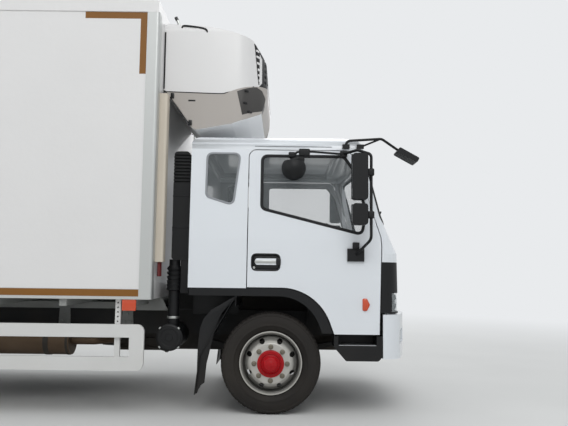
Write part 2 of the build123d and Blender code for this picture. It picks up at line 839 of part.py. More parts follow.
def fog_lamps():
    """Fog lamps in the recesses of the bumper."""
    body = bumper_form(fog_recess - 18) - bumper_form(fog_recess - touch)
    x = front_reach
    return both(body & block(x - 260, x + 50, 700, 860, fog_low + 8, fog_high - 8))


def bumper():
    """Front bumper, open at the back."""
    x = front_reach
    half = cab_half + 10
    inner_plan = [(900, -half + 45), (x - 160, -half + 45, 130), (x - 45, -590, 800),
                  (x - 45, 590, 800), (x - 160, half - 45, 130), (900, half - 45)]
    body = bumper_form(0) - from_above(inner_plan, 400, 900)
    recess = bumper_form(-5) - bumper_form(fog_recess)
    for side in (-1, 1):
        body -= recess & block(x - 260, x + 50, side * 640, side * 985, fog_low, fog_high)
    body -= block(x - 200, x + 50, -110, 110, 640, 760)
    for y in (-rail_outer_y, rail_inner_y):
        body += block(rail_front, x - 40, y, y + rail_flange, 640, 770)
    return body


def seats():
    """Driver's and passengers' seats."""
    pieces = []
    for y, half in ((520, 250), (-400, 460)):
        seat = from_side([(-250, 1200, 40), (260, 1230, 60), (270, 1370, 50), (-210, 1340, 30),
                          (-330, 1960, 40), (-420, 1950, 40), (-330, 1200, 20)], y - half, y + half)
        seat += block(-200, 180, y - half + 60, y + half - 60, arch_top + touch, 1280)
        pieces.append(seat)
    return pieces


def dashboard():
    """Dashboard with the steering column and wheel."""
    half = cab_half - cab_wall - 20
    body = from_side([(650, 1050), (640, 1380, 60), (760, 1480, 40), (900, 1490), (1200, 1300),
                      (1200, 1050)], -half, half) & cab_form(cab_wall + touch)
    body += rod((700, 500, 1300), (430, 500, 1520), 35)
    centre = Vector(420, 500, 1528)
    tilt = Plane(origin=centre, z_dir=(-270, 0, 220))
    body += tilt * Torus(220, 16)
    body += tilt * Cylinder(55, 30)
    for a in (0, 180, 270):
        body += tilt * Rot(0, 0, a) * Pos(120, 0, 0) * Box(220, 30, 14)
    return body


def snorkel():
    """Air intake behind the cab: louvred head, duct, bellows and the air cleaner drum."""
    y0 = -910
    y1 = -790
    body = from_side([(-870, 1270, 30), (-870, 2220, 40), (-725, 2220, 40), (-725, 1270, 30)], y0, y1)
    for i in range(9):
        z = 1945 + i * 29
        body -= block(-900, -700, y0 - 5, y0 + 22, z, z + 14)
    mid_y = (y0 + y1) / 2
    for i in range(5):
        body += rod((-848, mid_y, 1020 + i * 42), (-848, mid_y, 1044 + i * 42), 62)
    body += rod((-848, mid_y, 700), (-848, mid_y, 1275), 48)
    body += block(-730, cab_rear - touch, y0 + 20, y1 - 20, 1700, 1760)
    body += rod((-862, -950, 614), (-862, -560, 614), 109)
    body += block(-900, -824, -600, -rail_outer_y, 600, 640)
    return body


mirror_y = 1250
tube_r = 12


def cab_skin(z):
    """Half width of the cab at some height."""
    return cab_half - cab_lean * max(0, z - cab_belt) / (cab_top - cab_belt)


def door_mirrors():
    """Left door's mirrors: main and wide mirror on a tube, held at the door's top and middle."""
    high = cab_skin(2165) + touch
    body = bent_rod([(600, high + 10, 2190), (700, mirror_y - 60, 2195), (807, mirror_y, 2150),
                     (807, mirror_y, 1450), (705, cab_half + 12, 1330)], tube_r, [30, 40, 60])
    body += block(631, 772, cab_half, cab_half + 22, 1272, 1380)
    body += block(570, 630, high, high + 24, 2165, 2212)
    for z0, z1 in ((1773, 2155), (1567, 1741)):
        body += from_side([(652, z0, 25), (652, z1, 25), (779, z1, 25), (779, z0, 25)],
                          mirror_y - 55, mirror_y + 35)
    for z in (2000, 1650):
        body += block(760, 822, mirror_y - 22, mirror_y + 22, z - 25, z + 25)
    return body


def kerb_mirror():
    """Bowl mirror over the door, on its own rod."""
    y = mirror_y - 90
    high = cab_skin(2170) + touch
    bowl = Pos(173, y, 2040) * (Sphere(102) & block(-110, 110, -110, 110, -110, 60))
    arm = bent_rod([(173, y, 2090), (190, y, 2178), (330, y - 20, 2186), (600, high + 12, 2186)],
                   9, [25, 60])
    return bowl + arm + rod((150, y, 2096), (215, y, 2120), 30)


def front_view_mirror():
    """Right-hand mirror ahead of the windscreen, on an arm from the roof's side."""
    root = -cab_skin(2235) - touch
    y = -980
    arm = bent_rod([(620, root - 11, 2245), (620, root - 11, 2302), (925, root - 11, 2324),
                    (1110, y - 20, 2208)], 11, [40, 60])
    brace = rod((742, root - 11, 2250), (905, root - 11, 2318), 8)
    head = from_side([(1045, 2215, 14), (1078, 2250, 14), (1245, 2158, 14), (1222, 2118, 14)],
                     y - 90, y + 90)
    feet = [block(x - 30, x + 30, root - 22, root, 2235, 2272) for x in (620, 742)]
    return arm + brace + head + feet[0] + feet[1]


# Fittings on the chassis

strut_x = -1260
strut_holes = 5
strut_pitch = 38
strut_hole_r = 7


def guard():
    """Left side guard: two rails, a rounded front member and struts to the box."""
    front = -1035
    rear = rear_axle + 600
    y0 = box_half - 55
    y1 = box_half - 25
    frame = from_side([(rear, 364), (front, 364, 60), (front, 736, 60), (rear, 736)], y0, y1)
    frame -= from_side([(rear - 10, 474), (front - 120, 474), (front - 120, 630), (rear - 10, 630)],
                       y0 - 5, y1 + 5)
    for x in (strut_x, -2520, rear + 40):
        frame += block(x - 22, x + 22, y0 - 30, y0 + 2, 380, box_bottom - touch)
    for i in range(strut_holes):
        z = box_bottom - 30 - i * strut_pitch
        frame -= rod((strut_x, y0 - 40, z), (strut_x, y0 + 10, z), strut_hole_r)
    return frame


def fuel_tank():
    """Tank on the left of the chassis."""
    tank = from_front([(480, 380, 90), (1050, 380, 90), (1050, 840, 90), (480, 840, 90)], -2700, -1500)
    for x in (-2500, -1750):
        tank += block(x - 20, x + 20, rail_outer_y, 500, 620, 780)
    return tank


def battery_box():
    """Battery box behind the tank."""
    body = block(-3350, -2860, 480, 1000, 450, 800)
    return body + block(-3300, -3260, rail_outer_y, 490, 640, 760)


def muffler():
    """Silencer on the right of the chassis with its pipes."""
    y = -720
    z = 560
    body = rod((-2850, y, z), (-1750, y, z), 125)
    body += bent_rod([(-1760, y, z), (-1560, y, z), (-1420, y + 160, z), (-1420, -rail_outer_y - 60, z)],
                     38, [60, 60])
    body += rod((-2840, y, z), (-3150, y, z), 38)
    for x in (-2650, -1950):
        body += block(x - 20, x + 20, y, -rail_outer_y, z + 60, z + 100)
    return body


def rear_mudguards():
    """Half-round guards over the rear wheels, on rods from the rails."""
    r = 455
    y0 = rail_outer_y + 190
    y1 = box_half - 35
    ring = rod((rear_axle, y0, tyre_r), (rear_axle, y1, tyre_r), r)
    ring -= rod((rear_axle, y0 - 1, tyre_r), (rear_axle, y1 + 1, tyre_r), r - 5)
    ring = ring & block(rear_axle - 500, rear_axle + 500, y0, y1, tyre_r + 150, 1000)
    for side in (-1, 1):
        a = radians(35)
        x = rear_axle + side * (r + 12) * cos(a)
        z = tyre_r + (r + 12) * sin(a)
        ring += rod((x, rail_outer_y, z), (x, y1 - 40, z), 14)
    return both(ring)


def small_lamps():
    """Marker lamps on the sides and the tail lamps."""
    pieces = fog_lamps()
    pieces += both(block(-1218, -1104, box_half - 30, box_half - 4, 848, box_bottom - touch))
    x = box_rear + 60
    pieces += both(block(x, x + 70, 700, 1060, 550 + touch, 680))
    return pieces


os.makedirs("parts", exist_ok=True)
write_wheels()
write("front_axle", front_axle())
write("knuckle_left", knuckle())
write("knuckle_right", other_side(knuckle()))
write("rear_axle", rear_axle_body())
write("engine_block", engine_block())
write("leaf_springs", *springs())
write("chassis_rails", *chassis_rails())
write("crossmembers", *crossmembers())
write("box_bearers", box_bearers())
write("underrun_bar", underrun_bar())
write("box_floor", box_floor())
write("box_side_walls", *box_walls())
write("box_front_wall", box_front_wall())
write("box_roof", box_roof())
write("box_edge_trims", *box_trims())
write("rear_frame", rear_frame())
write("rear_door_left", rear_door())
write("rear_door_right", other_side(rear_door()))
write_unit()
write("hose_cover", hose_cover())
headlamps = write_cab()
write("cab_floor", cab_floor())
write("front_arches", *arch_trims())
write("entry_steps", *entry_steps())
write("front_bumper", bumper())
write("seats", *seats())
write("dashboard", dashboard())
write("intake_snorkel", snorkel())
write("mirrors_left", door_mirrors())
write("mirrors_right", other_side(door_mirrors()), other_side(kerb_mirror()))
write("front_view_mirror", front_view_mirror())
write("side_guards", *both(guard()))
write("fuel_tank", fuel_tank())
write("battery_box", battery_box())
write("muffler", muffler())
write("rear_mudguards", *rear_mudguards())
write("lamps", headlamps, *small_lamps())
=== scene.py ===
"""Finish and trim of a refrigerated box truck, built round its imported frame.

Metres. The truck faces +X, its left side is +Y and it stands on Z = 0.
"""
import math
import random

import bmesh
import bpy
from mathutils import Matrix, Vector


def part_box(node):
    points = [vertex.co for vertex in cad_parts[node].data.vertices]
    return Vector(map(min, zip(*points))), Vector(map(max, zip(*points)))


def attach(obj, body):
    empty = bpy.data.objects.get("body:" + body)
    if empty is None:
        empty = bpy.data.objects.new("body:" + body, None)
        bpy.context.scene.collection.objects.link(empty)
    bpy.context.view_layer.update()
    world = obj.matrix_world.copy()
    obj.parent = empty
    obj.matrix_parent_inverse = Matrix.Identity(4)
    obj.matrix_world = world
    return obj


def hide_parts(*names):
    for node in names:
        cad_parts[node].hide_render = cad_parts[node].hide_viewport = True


bl_info = {
    "name": "Refrigerated truck finish",
    "version": (1, 0, 0),
    "blender": (4, 5, 0),
    "location": "3D View > Sidebar > Truck",
    "description": "Adds trim, materials and a studio to a refrigerated box truck",
    "category": "Object",
}

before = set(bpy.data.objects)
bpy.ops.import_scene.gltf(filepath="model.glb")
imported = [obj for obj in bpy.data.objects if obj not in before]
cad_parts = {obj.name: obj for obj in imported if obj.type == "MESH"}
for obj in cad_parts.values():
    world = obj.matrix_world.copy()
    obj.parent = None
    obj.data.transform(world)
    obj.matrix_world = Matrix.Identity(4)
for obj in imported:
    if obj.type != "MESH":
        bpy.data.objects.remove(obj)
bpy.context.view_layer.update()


def middle(node):
    """Middle of a node's box."""
    low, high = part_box(node)
    return (low + high) / 2


AXLE_X = middle("tyre_front_right").x
REAR_AXLE_X = middle("tyres_rear_right").x
AXLE_Z = middle("tyre_front_right").z
BOX_LOW, BOX_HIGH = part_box("box_side_walls")
BOX_FRONT, BOX_SIDE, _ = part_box("box_edge_trims")[1]
BOX_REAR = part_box("rear_frame")[0].x
DOOR_FACE = AXLE_X - 7.080
SIDES = ((1, "left"), (-1, "right"))
# Middles of the front tyres and of the rear twins, from the truck's middle
FRONT_TRACK = 0.910
TWIN_TRACKS = (0.7255, 1.0045)


class TruckLooks(bpy.types.PropertyGroup):
    """Colours of the truck, as sRGB hex values."""

    cab: bpy.props.StringProperty(name="Cab", description="Cab enamel", default="#DDE1E5")
    body: bpy.props.StringProperty(name="Body", description="Box skin", default="#DFDEDD")
    strip: bpy.props.StringProperty(name="Strip", description="Marking strip", default="#82530B")
    post: bpy.props.StringProperty(name="Post", description="Corner post", default="#C4C6C4")
    shell: bpy.props.StringProperty(name="Shell", description="Cooling unit", default="#E1E0DF")
    skirt: bpy.props.StringProperty(name="Skirt", description="Lower shell", default="#AEA8A2")
    hub: bpy.props.StringProperty(name="Hub", description="Hub enamel", default="#A60210")
    wheel: bpy.props.StringProperty(name="Wheel", description="Wheel paint", default="#BBB9B3")


class TruckSizes(bpy.types.PropertyGroup):
    """Sizes of the added trim."""

    strip_width: bpy.props.FloatProperty(
        name="Strip width", description="Width of the marking strips", default=0.057, unit="LENGTH")
    seal_width: bpy.props.FloatProperty(
        name="Seal width", description="Width of the window seals", default=0.026, unit="LENGTH")
    tread_blocks: bpy.props.IntProperty(
        name="Tread blocks", description="Blocks round a tyre", default=60)
    nut_width: bpy.props.FloatProperty(
        name="Nut width", description="Wheel nut across flats", default=0.030, unit="LENGTH")
    lens_mm: bpy.props.FloatProperty(
        name="Lens", description="Camera focal length", default=40.56, unit="CAMERA")


def looks():
    """The colours in use."""
    return bpy.context.scene.truck_looks


def sizes():
    """The sizes in use."""
    return bpy.context.scene.truck_sizes


# Colour and material nodes

DUST = "#8F8473"
# Painted shade: the white lining inside the cab, painted grey as if in shade
CAB_LINING_SHADE = "#9C9DA0"


def linear(code):
    """Linear colour of an sRGB hex value."""
    parts = [int(code[i:i + 2], 16) / 255 for i in (1, 3, 5)]
    flat = [p / 12.92 if p <= 0.04045 else ((p + 0.055) / 1.055) ** 2.4 for p in parts]
    return (*flat, 1.0)


def add(tree, kind, inputs=(), **settings):
    """Adds a shader node, sets it, and fills its inputs with values, sockets or other nodes."""
    made = tree.nodes.new("ShaderNode" + kind)
    for name, value in settings.items():
        setattr(made, name, value)
    for name, value in dict(inputs).items():
        if isinstance(value, bpy.types.Node):
            value = next(way for way in value.outputs if way.enabled)
        if isinstance(value, bpy.types.NodeSocket):
            tree.links.new(value, made.inputs[name])
        else:
            made.inputs[name].default_value = value
    return made


def blank(name):
    """A new material and its empty node tree."""
    made = bpy.data.materials.new(name)
    made.use_nodes = True
    made.node_tree.nodes.clear()
    return made, made.node_tree


def surface(name, colour, rough, metal=0.0, ior=1.5, coat=0.0, grain=0.003, bump=0.05,
            mottle=0.03, stretch=(1, 1, 1), dust=0.0, dust_top=1.0, wear=0.04, beyond=None,
            rings=None, under=None, lining=None):
    """A finish with mottled colour, a fine grain, uneven gloss and dust near the ground.

    grain is the size of the surface grain in metres, and dust_top the height dust reaches.
    beyond gives a second finish outside a distance: its axis, limit, colour, roughness and metal.
    rings gives a wheel's place along X and the painted shade at radii, under the
    pale colour painted as light on faces that look down, and lining a colour of painted shade
    with the box that holds the inner faces.
    """
    made, tree = blank(name)
    place = add(tree, "TexCoord").outputs["Object"]
    along = add(tree, "Mapping", {"Vector": place, "Scale": stretch})
    cloud = add(tree, "TexNoise", {"Vector": along, "Scale": 2.3, "Detail": 6.0})
    fine = add(tree, "TexNoise", {"Vector": along, "Scale": 1 / grain, "Detail": 3.0})
    base = linear(colour)
    dark = tuple(c * (1 - mottle * 2) for c in base[:3]) + (1,)
    tone = add(tree, "Mix", {"Factor": cloud, 6: dark, 7: base}, data_type="RGBA")
    if dust:
        height = add(tree, "SeparateXYZ", {"Vector": place}).outputs["Z"]
        spread = add(tree, "MapRange", {"Value": height, "From Min": dust_top, "From Max": 0.1,
                                        "To Max": dust})
        patch = add(tree, "MapRange", {"Value": cloud, "From Min": 0.35, "From Max": 0.7})
        amount = add(tree, "Math", {0: spread, 1: patch}, operation="MULTIPLY")
        tone = add(tree, "Mix", {"Factor": amount, 6: tone, 7: linear(DUST)}, data_type="RGBA")
    gloss = add(tree, "MapRange", {"Value": cloud, "To Min": max(rough - wear, 0.02),
                                   "To Max": rough + wear})
    # Painted shade: the colour is darkened at given radii round a wheel, deepest in its dish
    if rings:
        centre, stops = rings
        flat = add(tree, "Mapping", {"Vector": place, "Scale": (1, 0, 1),
                                     "Location": (-centre, 0, -AXLE_Z)})
        reach = add(tree, "VectorMath", {0: flat}, operation="LENGTH")
        shade = add(tree, "ValToRGB", {"Fac": reach})
        line = shade.color_ramp.elements
        for i, (radius, tint) in enumerate(stops):
            mark = line[i] if i < 2 else line.new(radius)
            mark.position = radius
            mark.color = (tint, tint, tint, 1)
        tone = add(tree, "Mix", {"Factor": 1.0, 6: tone, 7: shade}, data_type="RGBA",
                   blend_type="MULTIPLY")
    # Painted light: faces that look down take a pale colour
    if under:
        normal = add(tree, "NewGeometry").outputs["True Normal"]
        down = add(tree, "SeparateXYZ", {"Vector": normal}).outputs["Z"]
        below = add(tree, "Math", {0: down, 1: -0.5}, operation="LESS_THAN")
        tone = add(tree, "Mix", {"Factor": below, 6: tone, 7: linear(under)}, data_type="RGBA")
    # Painted shade: faces inside the box take a darker colour
    if lining:
        inner, low, high = lining
        spot = add(tree, "SeparateXYZ", {"Vector": place})
        inside = 1.0
        for k, axis in enumerate("XYZ"):
            near = add(tree, "Math", {0: spot.outputs[axis], 1: (low[k] + high[k]) / 2,
                                      2: (high[k] - low[k]) / 2}, operation="COMPARE")
            inside = add(tree, "Math", {0: inside, 1: near}, operation="MULTIPLY")
        tone = add(tree, "Mix", {"Factor": inside, 6: tone, 7: linear(inner)}, data_type="RGBA")
    if beyond:
        axis, limit, other, other_rough, other_metal = beyond
        reach = add(tree, "Math", {0: add(tree, "SeparateXYZ", {"Vector": place}).outputs[axis]},
                    operation="ABSOLUTE")
        past = add(tree, "Math", {0: reach, 1: limit}, operation="GREATER_THAN")
        tone = add(tree, "Mix", {"Factor": past, 6: tone, 7: linear(other)}, data_type="RGBA")
        gloss = add(tree, "Mix", {"Factor": past, 2: gloss, 3: other_rough})
        if metal != other_metal:
            metal = add(tree, "Mix", {"Factor": past, 2: metal, 3: other_metal})
    lift = add(tree, "Bump", {"Height": fine, "Strength": bump, "Distance": grain * 0.5})
    shader = add(tree, "BsdfPrincipled",
                 {"Base Color": tone, "Roughness": gloss, "Metallic": metal, "Normal": lift,
                  "Coat Weight": coat, "Coat Roughness": 0.06})
    if not metal:
        shader.inputs["IOR"].default_value = ior
    add(tree, "OutputMaterial", {"Surface": shader})
    return made


def clear_glass(name, colour, alpha):
    """Float glass: a clear sheet with a faint tint and a sharp reflection."""
    made, tree = blank(name)
    place = add(tree, "TexCoord").outputs["Object"]
    haze = add(tree, "TexNoise", {"Vector": place, "Scale": 3.0, "Detail": 4.0})
    gloss = add(tree, "MapRange", {"Value": haze, "To Min": 0.02, "To Max": 0.05})
    shader = add(tree, "BsdfPrincipled",
                 {"Base Color": linear(colour), "Roughness": gloss, "IOR": 1.52, "Alpha": alpha})
    add(tree, "OutputMaterial", {"Surface": shader})
    made.surface_render_method = "BLENDED"
    return made


def make_finishes():
    """Every material, named for what the real one is."""
    c = looks()
    made = {}

    def keep(name, **settings):
        made[name] = surface(name, **settings)

    # Baked enamel on steel: even colour under a hard clear gloss; the faces inside the cab are
    # painted grey, a painted shade on the white lining
    for name, low, high in (("cab", (-0.660, -1.012, 1.045), (0.770, 1.012, 2.215)),
                            ("roof", (-0.655, -0.975, 2.100), (0.590, 0.975, 2.3110))):
        low, high = ((AXLE_X + x, y, z) for x, y, z in (low, high))
        dusty = {"dust": 0.10, "dust_top": 0.8} if name == "cab" else {}
        keep(f"{name}_enamel", colour=c.cab, rough=0.28, coat=0.6, grain=0.006, bump=0.02,
             mottle=0.005, wear=0.012, lining=(CAB_LINING_SHADE, low, high), **dusty)
    # Gelcoat on glass fibre: satin, with a faint long waviness
    keep("gelcoat", colour=c.body, rough=0.38, coat=0.25, grain=0.09, mottle=0.02)
    # The same skin on the rear doors, and brushed stainless steel on the gear that stands off it
    keep("door_gelcoat", colour=c.body, rough=0.38, coat=0.2, grain=0.02, bump=0.04, mottle=0.02,
         beyond=("X", abs(DOOR_FACE) + 0.0008, "#B9BCBE", 0.30, 0.95))
    # Anodised aluminium extrusion: fine lines along its length
    keep("anodised_aluminium", colour=c.post, rough=0.42, metal=0.55, grain=0.002, bump=0.08,
         stretch=(1, 1, 0.05))
    # Retroreflective tape, seen away from the light: matt and brown-gold
    keep("marking_tape", colour=c.strip, rough=0.5, grain=0.004, bump=0.15, mottle=0.10)
    # Vacuum-formed ABS: smooth skin, softly glossy
    keep("abs_shell", colour=c.shell, rough=0.34, coat=0.2, grain=0.012, bump=0.03, mottle=0.015)
    # The same in warm grey with a fine grain; its faces that look down are painted pale, a painted
    # light on the unit's underside
    keep("abs_skirt", colour=c.skirt, rough=0.5, grain=0.004, bump=0.06, under="#F2F2F2")
    # Moulded polypropylene: black with a fine leathery grain and a grey bloom
    keep("black_polypropylene", colour="#0F1012", rough=0.5, ior=1.38, grain=0.0022, bump=0.22,
         mottle=0.15, dust=0.07, dust_top=0.8)
    # Black ABS with a sharp highlight, and dark grey panels of it with a fine grain
    keep("gloss_black_abs", colour="#0C0D0F", rough=0.24, ior=1.42, coat=0.1, grain=0.006,
         bump=0.03)
    keep("dark_panel_abs", colour="#3C3A38", rough=0.5, bump=0.12, mottle=0.06)
    # Tyre rubber: matt charcoal, browned with road dust towards the tread
    keep("tyre_rubber", colour="#1C1917", rough=0.7, ior=1.38, grain=0.004, bump=0.25, mottle=0.12,
         dust=0.06, dust_top=1.2, wear=0.08)
    # Silver wheel paint over pressed steel: clean on the disc's flat and the rim's lip, with
    # painted shade darkening the dish between
    dish_shade = [(0.0, 1.0), (0.186, 1.0), (0.196, 0.48), (0.247, 0.42), (0.2535, 0.95), (0.30, 1.0)]
    for end, centre in (("front", AXLE_X), ("rear", REAR_AXLE_X)):
        keep(f"{end}_wheel_paint", colour=c.wheel, rough=0.36, metal=0.35, bump=0.06, mottle=0.06,
             dust=0.12, dust_top=0.9, rings=(centre, dish_shade))
    # Zinc-plated nuts gone dull
    keep("dull_zinc", colour="#7C766A", rough=0.42, metal=0.8, bump=0.1, mottle=0.1)
    # Red enamel, hardly glossy and a little dusty
    keep("hub_enamel", colour=c.hub, rough=0.40, ior=1.32, coat=0.08, grain=0.004, mottle=0.06,
         dust=0.03)
    # Cast hub, bare and rusty dark behind the wheel's disc and enamelled outside it
    for end, limit in (("front", 1.0450), ("rear", 0.8700)):
        keep(f"{end}_hub_casting", colour="#2A2725", rough=0.6, ior=1.32, bump=0.2, mottle=0.1,
             beyond=("Y", limit, c.hub, 0.34, 0.0))
    # Chassis paint: satin black-grey, dusty
    keep("chassis_paint", colour="#161719", rough=0.6, ior=1.4, grain=0.005, bump=0.15, mottle=0.12,
         dust=0.15, dust_top=1.1)
    # Primer on the bearers: flat grey, browned by the road
    keep("bearer_paint", colour="#9A9C9A", rough=0.6, grain=0.004, bump=0.10, mottle=0.08,
         dust=0.35, dust_top=1.2)
    # Powder coat: white with a slight orange peel
    keep("powder_coat", colour="#D3D3D1", rough=0.42, bump=0.12, dust=0.22, dust_top=0.9)
    # Cast iron under thin paint: pitted and rough
    keep("cast_iron", colour="#2C2A28", rough=0.72, metal=0.3, bump=0.5, mottle=0.2, dust=0.35,
         dust_top=1.1)
    # Brushed stainless steel: bright, with fine vertical lines
    keep("brushed_stainless", colour="#C3C5C6", rough=0.32, metal=1.0, grain=0.0015, bump=0.10,
         stretch=(1, 1, 0.03), mottle=0.04)
    # Aluminised steel browned by heat: blotchy, with a dull sheen
    keep("aluminised_steel", colour="#64503E", rough=0.5, metal=0.7, grain=0.004, bump=0.2,
         mottle=0.25, dust=0.4, dust_top=0.9)
    # Aluminium as it leaves the mill: bright, with rolling lines along the truck
    keep("mill_aluminium", colour="#C2C5C7", rough=0.36, metal=0.9, grain=0.002, bump=0.08,
         stretch=(0.05, 1, 1), mottle=0.05)
    # Fresh zinc plate: pale, with a tight highlight
    keep("zinc_plate", colour="#B9BBB8", rough=0.35, metal=0.9)
    # EPDM rubber: deep matt black, or a faded grey
    keep("seal_rubber", colour="#101113", rough=0.62, ior=1.4, bump=0.08, mottle=0.08)
    keep("grey_seal", colour="#8C8F93", rough=0.5, mottle=0.05)
    # ABS yellowed by the sun: cream, with no gloss left
    keep("hose_cover_abs", colour="#D3C9B9", rough=0.5, bump=0.08, mottle=0.04)
    # Hose rubber: dark red with a soft sheen
    keep("red_hose", colour="#6E1B1B", rough=0.55, bump=0.10, mottle=0.08)
    # Woven seat cloth: dark grey with a visible weave
    keep("seat_cloth", colour="#3A3B3E", rough=0.9, grain=0.004, bump=0.5, mottle=0.15)
    # Dashboard vinyl: dark grey with a leathery grain
    keep("dash_vinyl", colour="#3A3B3D", rough=0.6, bump=0.25, mottle=0.08)
    # Moulded acrylic lenses: deep colour under a hard gloss
    keep("orange_lens", colour="#C9461C", rough=0.16, coat=0.5, grain=0.006, bump=0.15, mottle=0.05)
    keep("red_lens", colour="#A81414", rough=0.16, coat=0.5, grain=0.006, bump=0.15, mottle=0.05)
    # Silvered plastic, broken into small highlights, and mirror glass with a clean reflection
    keep("silver_reflector", colour="#D5D8DA", rough=0.12, metal=1.0, grain=0.01, bump=0.2)
    keep("mirror_silver", colour="#D9DEE0", rough=0.04, metal=1.0, grain=0.2, bump=0.01,
         mottle=0.01, wear=0.01)
    # Float glass and clear lamp covers: a faint tint and a sharp reflection
    for name, colour, alpha in (("window_glass", "#9AA1A3", 0.14), ("lamp_glass", "#E8F0F2", 0.25)):
        made[name] = clear_glass(name, colour, alpha)
    return made


finishes = {}

NODE_FINISH = {
    "tyre_rubber": ["tyre_front_left", "tyre_front_right", "tyres_rear_left", "tyres_rear_right"],
    "front_wheel_paint": ["wheel_front_left", "wheel_front_right"],
    "rear_wheel_paint": ["wheels_rear_left", "wheels_rear_right"],
    "front_hub_casting": ["hub_front_left", "hub_front_right"],
    "rear_hub_casting": ["hub_rear_left", "hub_rear_right"],
    "cast_iron": ["knuckle_left", "knuckle_right", "front_axle", "rear_axle", "engine_block"],
    "chassis_paint": ["leaf_springs", "chassis_rails", "crossmembers", "underrun_bar", "cab_floor"],
    "bearer_paint": ["box_bearers"],
    "gelcoat": ["box_side_walls", "box_front_wall", "box_roof"],
    "door_gelcoat": ["rear_door_left", "rear_door_right"],
    "mill_aluminium": ["box_floor", "fuel_tank"],
    "anodised_aluminium": ["box_edge_trims"],
    "brushed_stainless": ["rear_frame"],
    "abs_shell": ["unit_upper_shell"],
    "abs_skirt": ["unit_lower_shell"],
    "gloss_black_abs": ["unit_grille"],
    "hose_cover_abs": ["hose_cover"],
    "roof_enamel": ["cab_roof"],
    "cab_enamel": ["cab_rear_body", "cab_front", "door_left", "door_right", "front_bumper"],
    "black_polypropylene": ["corner_deflectors", "front_arches", "front_grille", "entry_steps",
                            "intake_snorkel", "mirrors_left", "mirrors_right", "front_view_mirror",
                            "battery_box", "rear_mudguards"],
    "window_glass": ["cab_glass", "door_glass_left", "door_glass_right"],
    "seat_cloth": ["seats"],
    "dash_vinyl": ["dashboard"],
    "powder_coat": ["side_guards"],
    "aluminised_steel": ["muffler"],
    "orange_lens": ["lamps"],
}


class TRUCK_OT_finishes(bpy.types.Operator):
    """Make the materials and give every node of the frame its own"""

    bl_idname = "truck.finishes"
    bl_label = "Finishes"

    def execute(self, context):
        finishes.update(make_finishes())
        for finish, nodes in NODE_FINISH.items():
            for name in nodes:
                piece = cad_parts[name]
                piece.data.materials.clear()
                piece.data.materials.append(finishes[finish])
        return {"FINISHED"}


# Modelling helpers

# Points closer than this become one, in turned pieces and in copies of the frame's meshes
WELD = 0.00002
CAD_WELD = 0.00005
# Steps of a rounded corner, and the most that it may take of an edge
CORNER_STEPS = 5
EDGE_SHARE = 0.45
# How much of a band's width lies inside its outline
INNER_SHARE = 0.35


def clear_selection():
    """Nothing selected, in object mode."""
    if bpy.context.object and bpy.context.object.mode != "OBJECT":
        shut()
    bpy.ops.object.select_all(action="DESELECT")


def only(piece):
    """Makes one object the selected and active one."""
    clear_selection()
    piece.select_set(True)
    bpy.context.view_layer.objects.active = piece
    return piece


def put(name, data):
    """A new object in the scene, the only one that is selected."""
    made = bpy.data.objects.new(name, data)
    bpy.context.collection.objects.link(made)
    return only(made)


def opened(piece):
    """Opens a piece in edit mode with all of it selected."""
    only(piece)
    bpy.ops.object.mode_set(mode="EDIT")
    bpy.ops.mesh.select_all(action="SELECT")
    return piece


def shut():
    """Back to object mode."""
    bpy.ops.object.mode_set(mode="OBJECT")


def drawn(name, points, edges=(), faces=()):
    """A new object from points, open in edit mode with all of it selected."""
    mesh = bpy.data.meshes.new(name)
    mesh.from_pydata(points, edges, faces)
    return opened(put(name, mesh))


def settle(piece):
    """Applies the object's place, turn and scale to its mesh."""
    only(piece)
    bpy.ops.object.transform_apply(location=True, rotation=True, scale=True)
    return piece


def pick(piece, kind, test):
    """In edit mode, selects the faces or vertices whose middle passes a test."""
    bpy.ops.mesh.select_all(action="DESELECT")
    bpy.ops.mesh.select_mode(type={"faces": "FACE", "verts": "VERT"}[kind])
    mesh = bmesh.from_edit_mesh(piece.data)
    for part in getattr(mesh, kind):
        spots = [part.co] if kind == "verts" else [v.co for v in part.verts]
        part.select_set(bool(test(sum(spots, Vector()) / len(spots))))
    mesh.select_flush_mode()
    bmesh.update_edit_mesh(piece.data)


def block(name, low, high):
    """A block between two corners, as a start."""
    clear_selection()
    low, high = Vector(low), Vector(high)
    bpy.ops.mesh.primitive_cube_add(size=1, location=(low + high) / 2)
    piece = bpy.context.object
    piece.name = name
    piece.scale = high - low
    return settle(piece)


def modify(piece, kind, **settings):
    """Adds a modifier with settings and applies it."""
    only(piece)
    made = piece.modifiers.new(kind.title(), kind)
    for name, value in settings.items():
        setattr(made, name, value)
    bpy.ops.object.modifier_apply(modifier=made.name)
    return piece


def soften(piece, width, segments=2, angle=35):
    """Rounds the sharp edges."""
    return modify(piece, "BEVEL", width=width, segments=segments, limit_method="ANGLE",
                  angle_limit=math.radians(angle))


def dress(piece, body, finish, angle=35):
    """Gives a finished piece its material and its body, and smooths its faces."""
    only(piece)
    piece.data.materials.clear()
    piece.data.materials.append(finishes[finish])
    bpy.ops.object.shade_smooth_by_angle(angle=math.radians(angle))
    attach(piece, body)
    return piece


def join(name, pieces):
    """Joins pieces into one."""
    clear_selection()
    for piece in pieces:
        piece.select_set(True)
    bpy.context.view_layer.objects.active = pieces[0]
    if len(pieces) > 1:
        bpy.ops.object.join()
    made = bpy.context.object
    made.name = name
    return settle(made)


def copy_of(piece, name, turn):
    """A copy whose own mesh is moved and turned by a matrix."""
    made = put(name, piece.data.copy())
    made.data.transform(turn)
    return made


def facing(side, x, y, z):
    """Matrix that puts a piece on a side of the truck, its +Y end outwards."""
    turn = Matrix.Rotation(0 if side > 0 else math.pi, 4, "Z")
    return Matrix.Translation((x, side * y, z)) @ turn


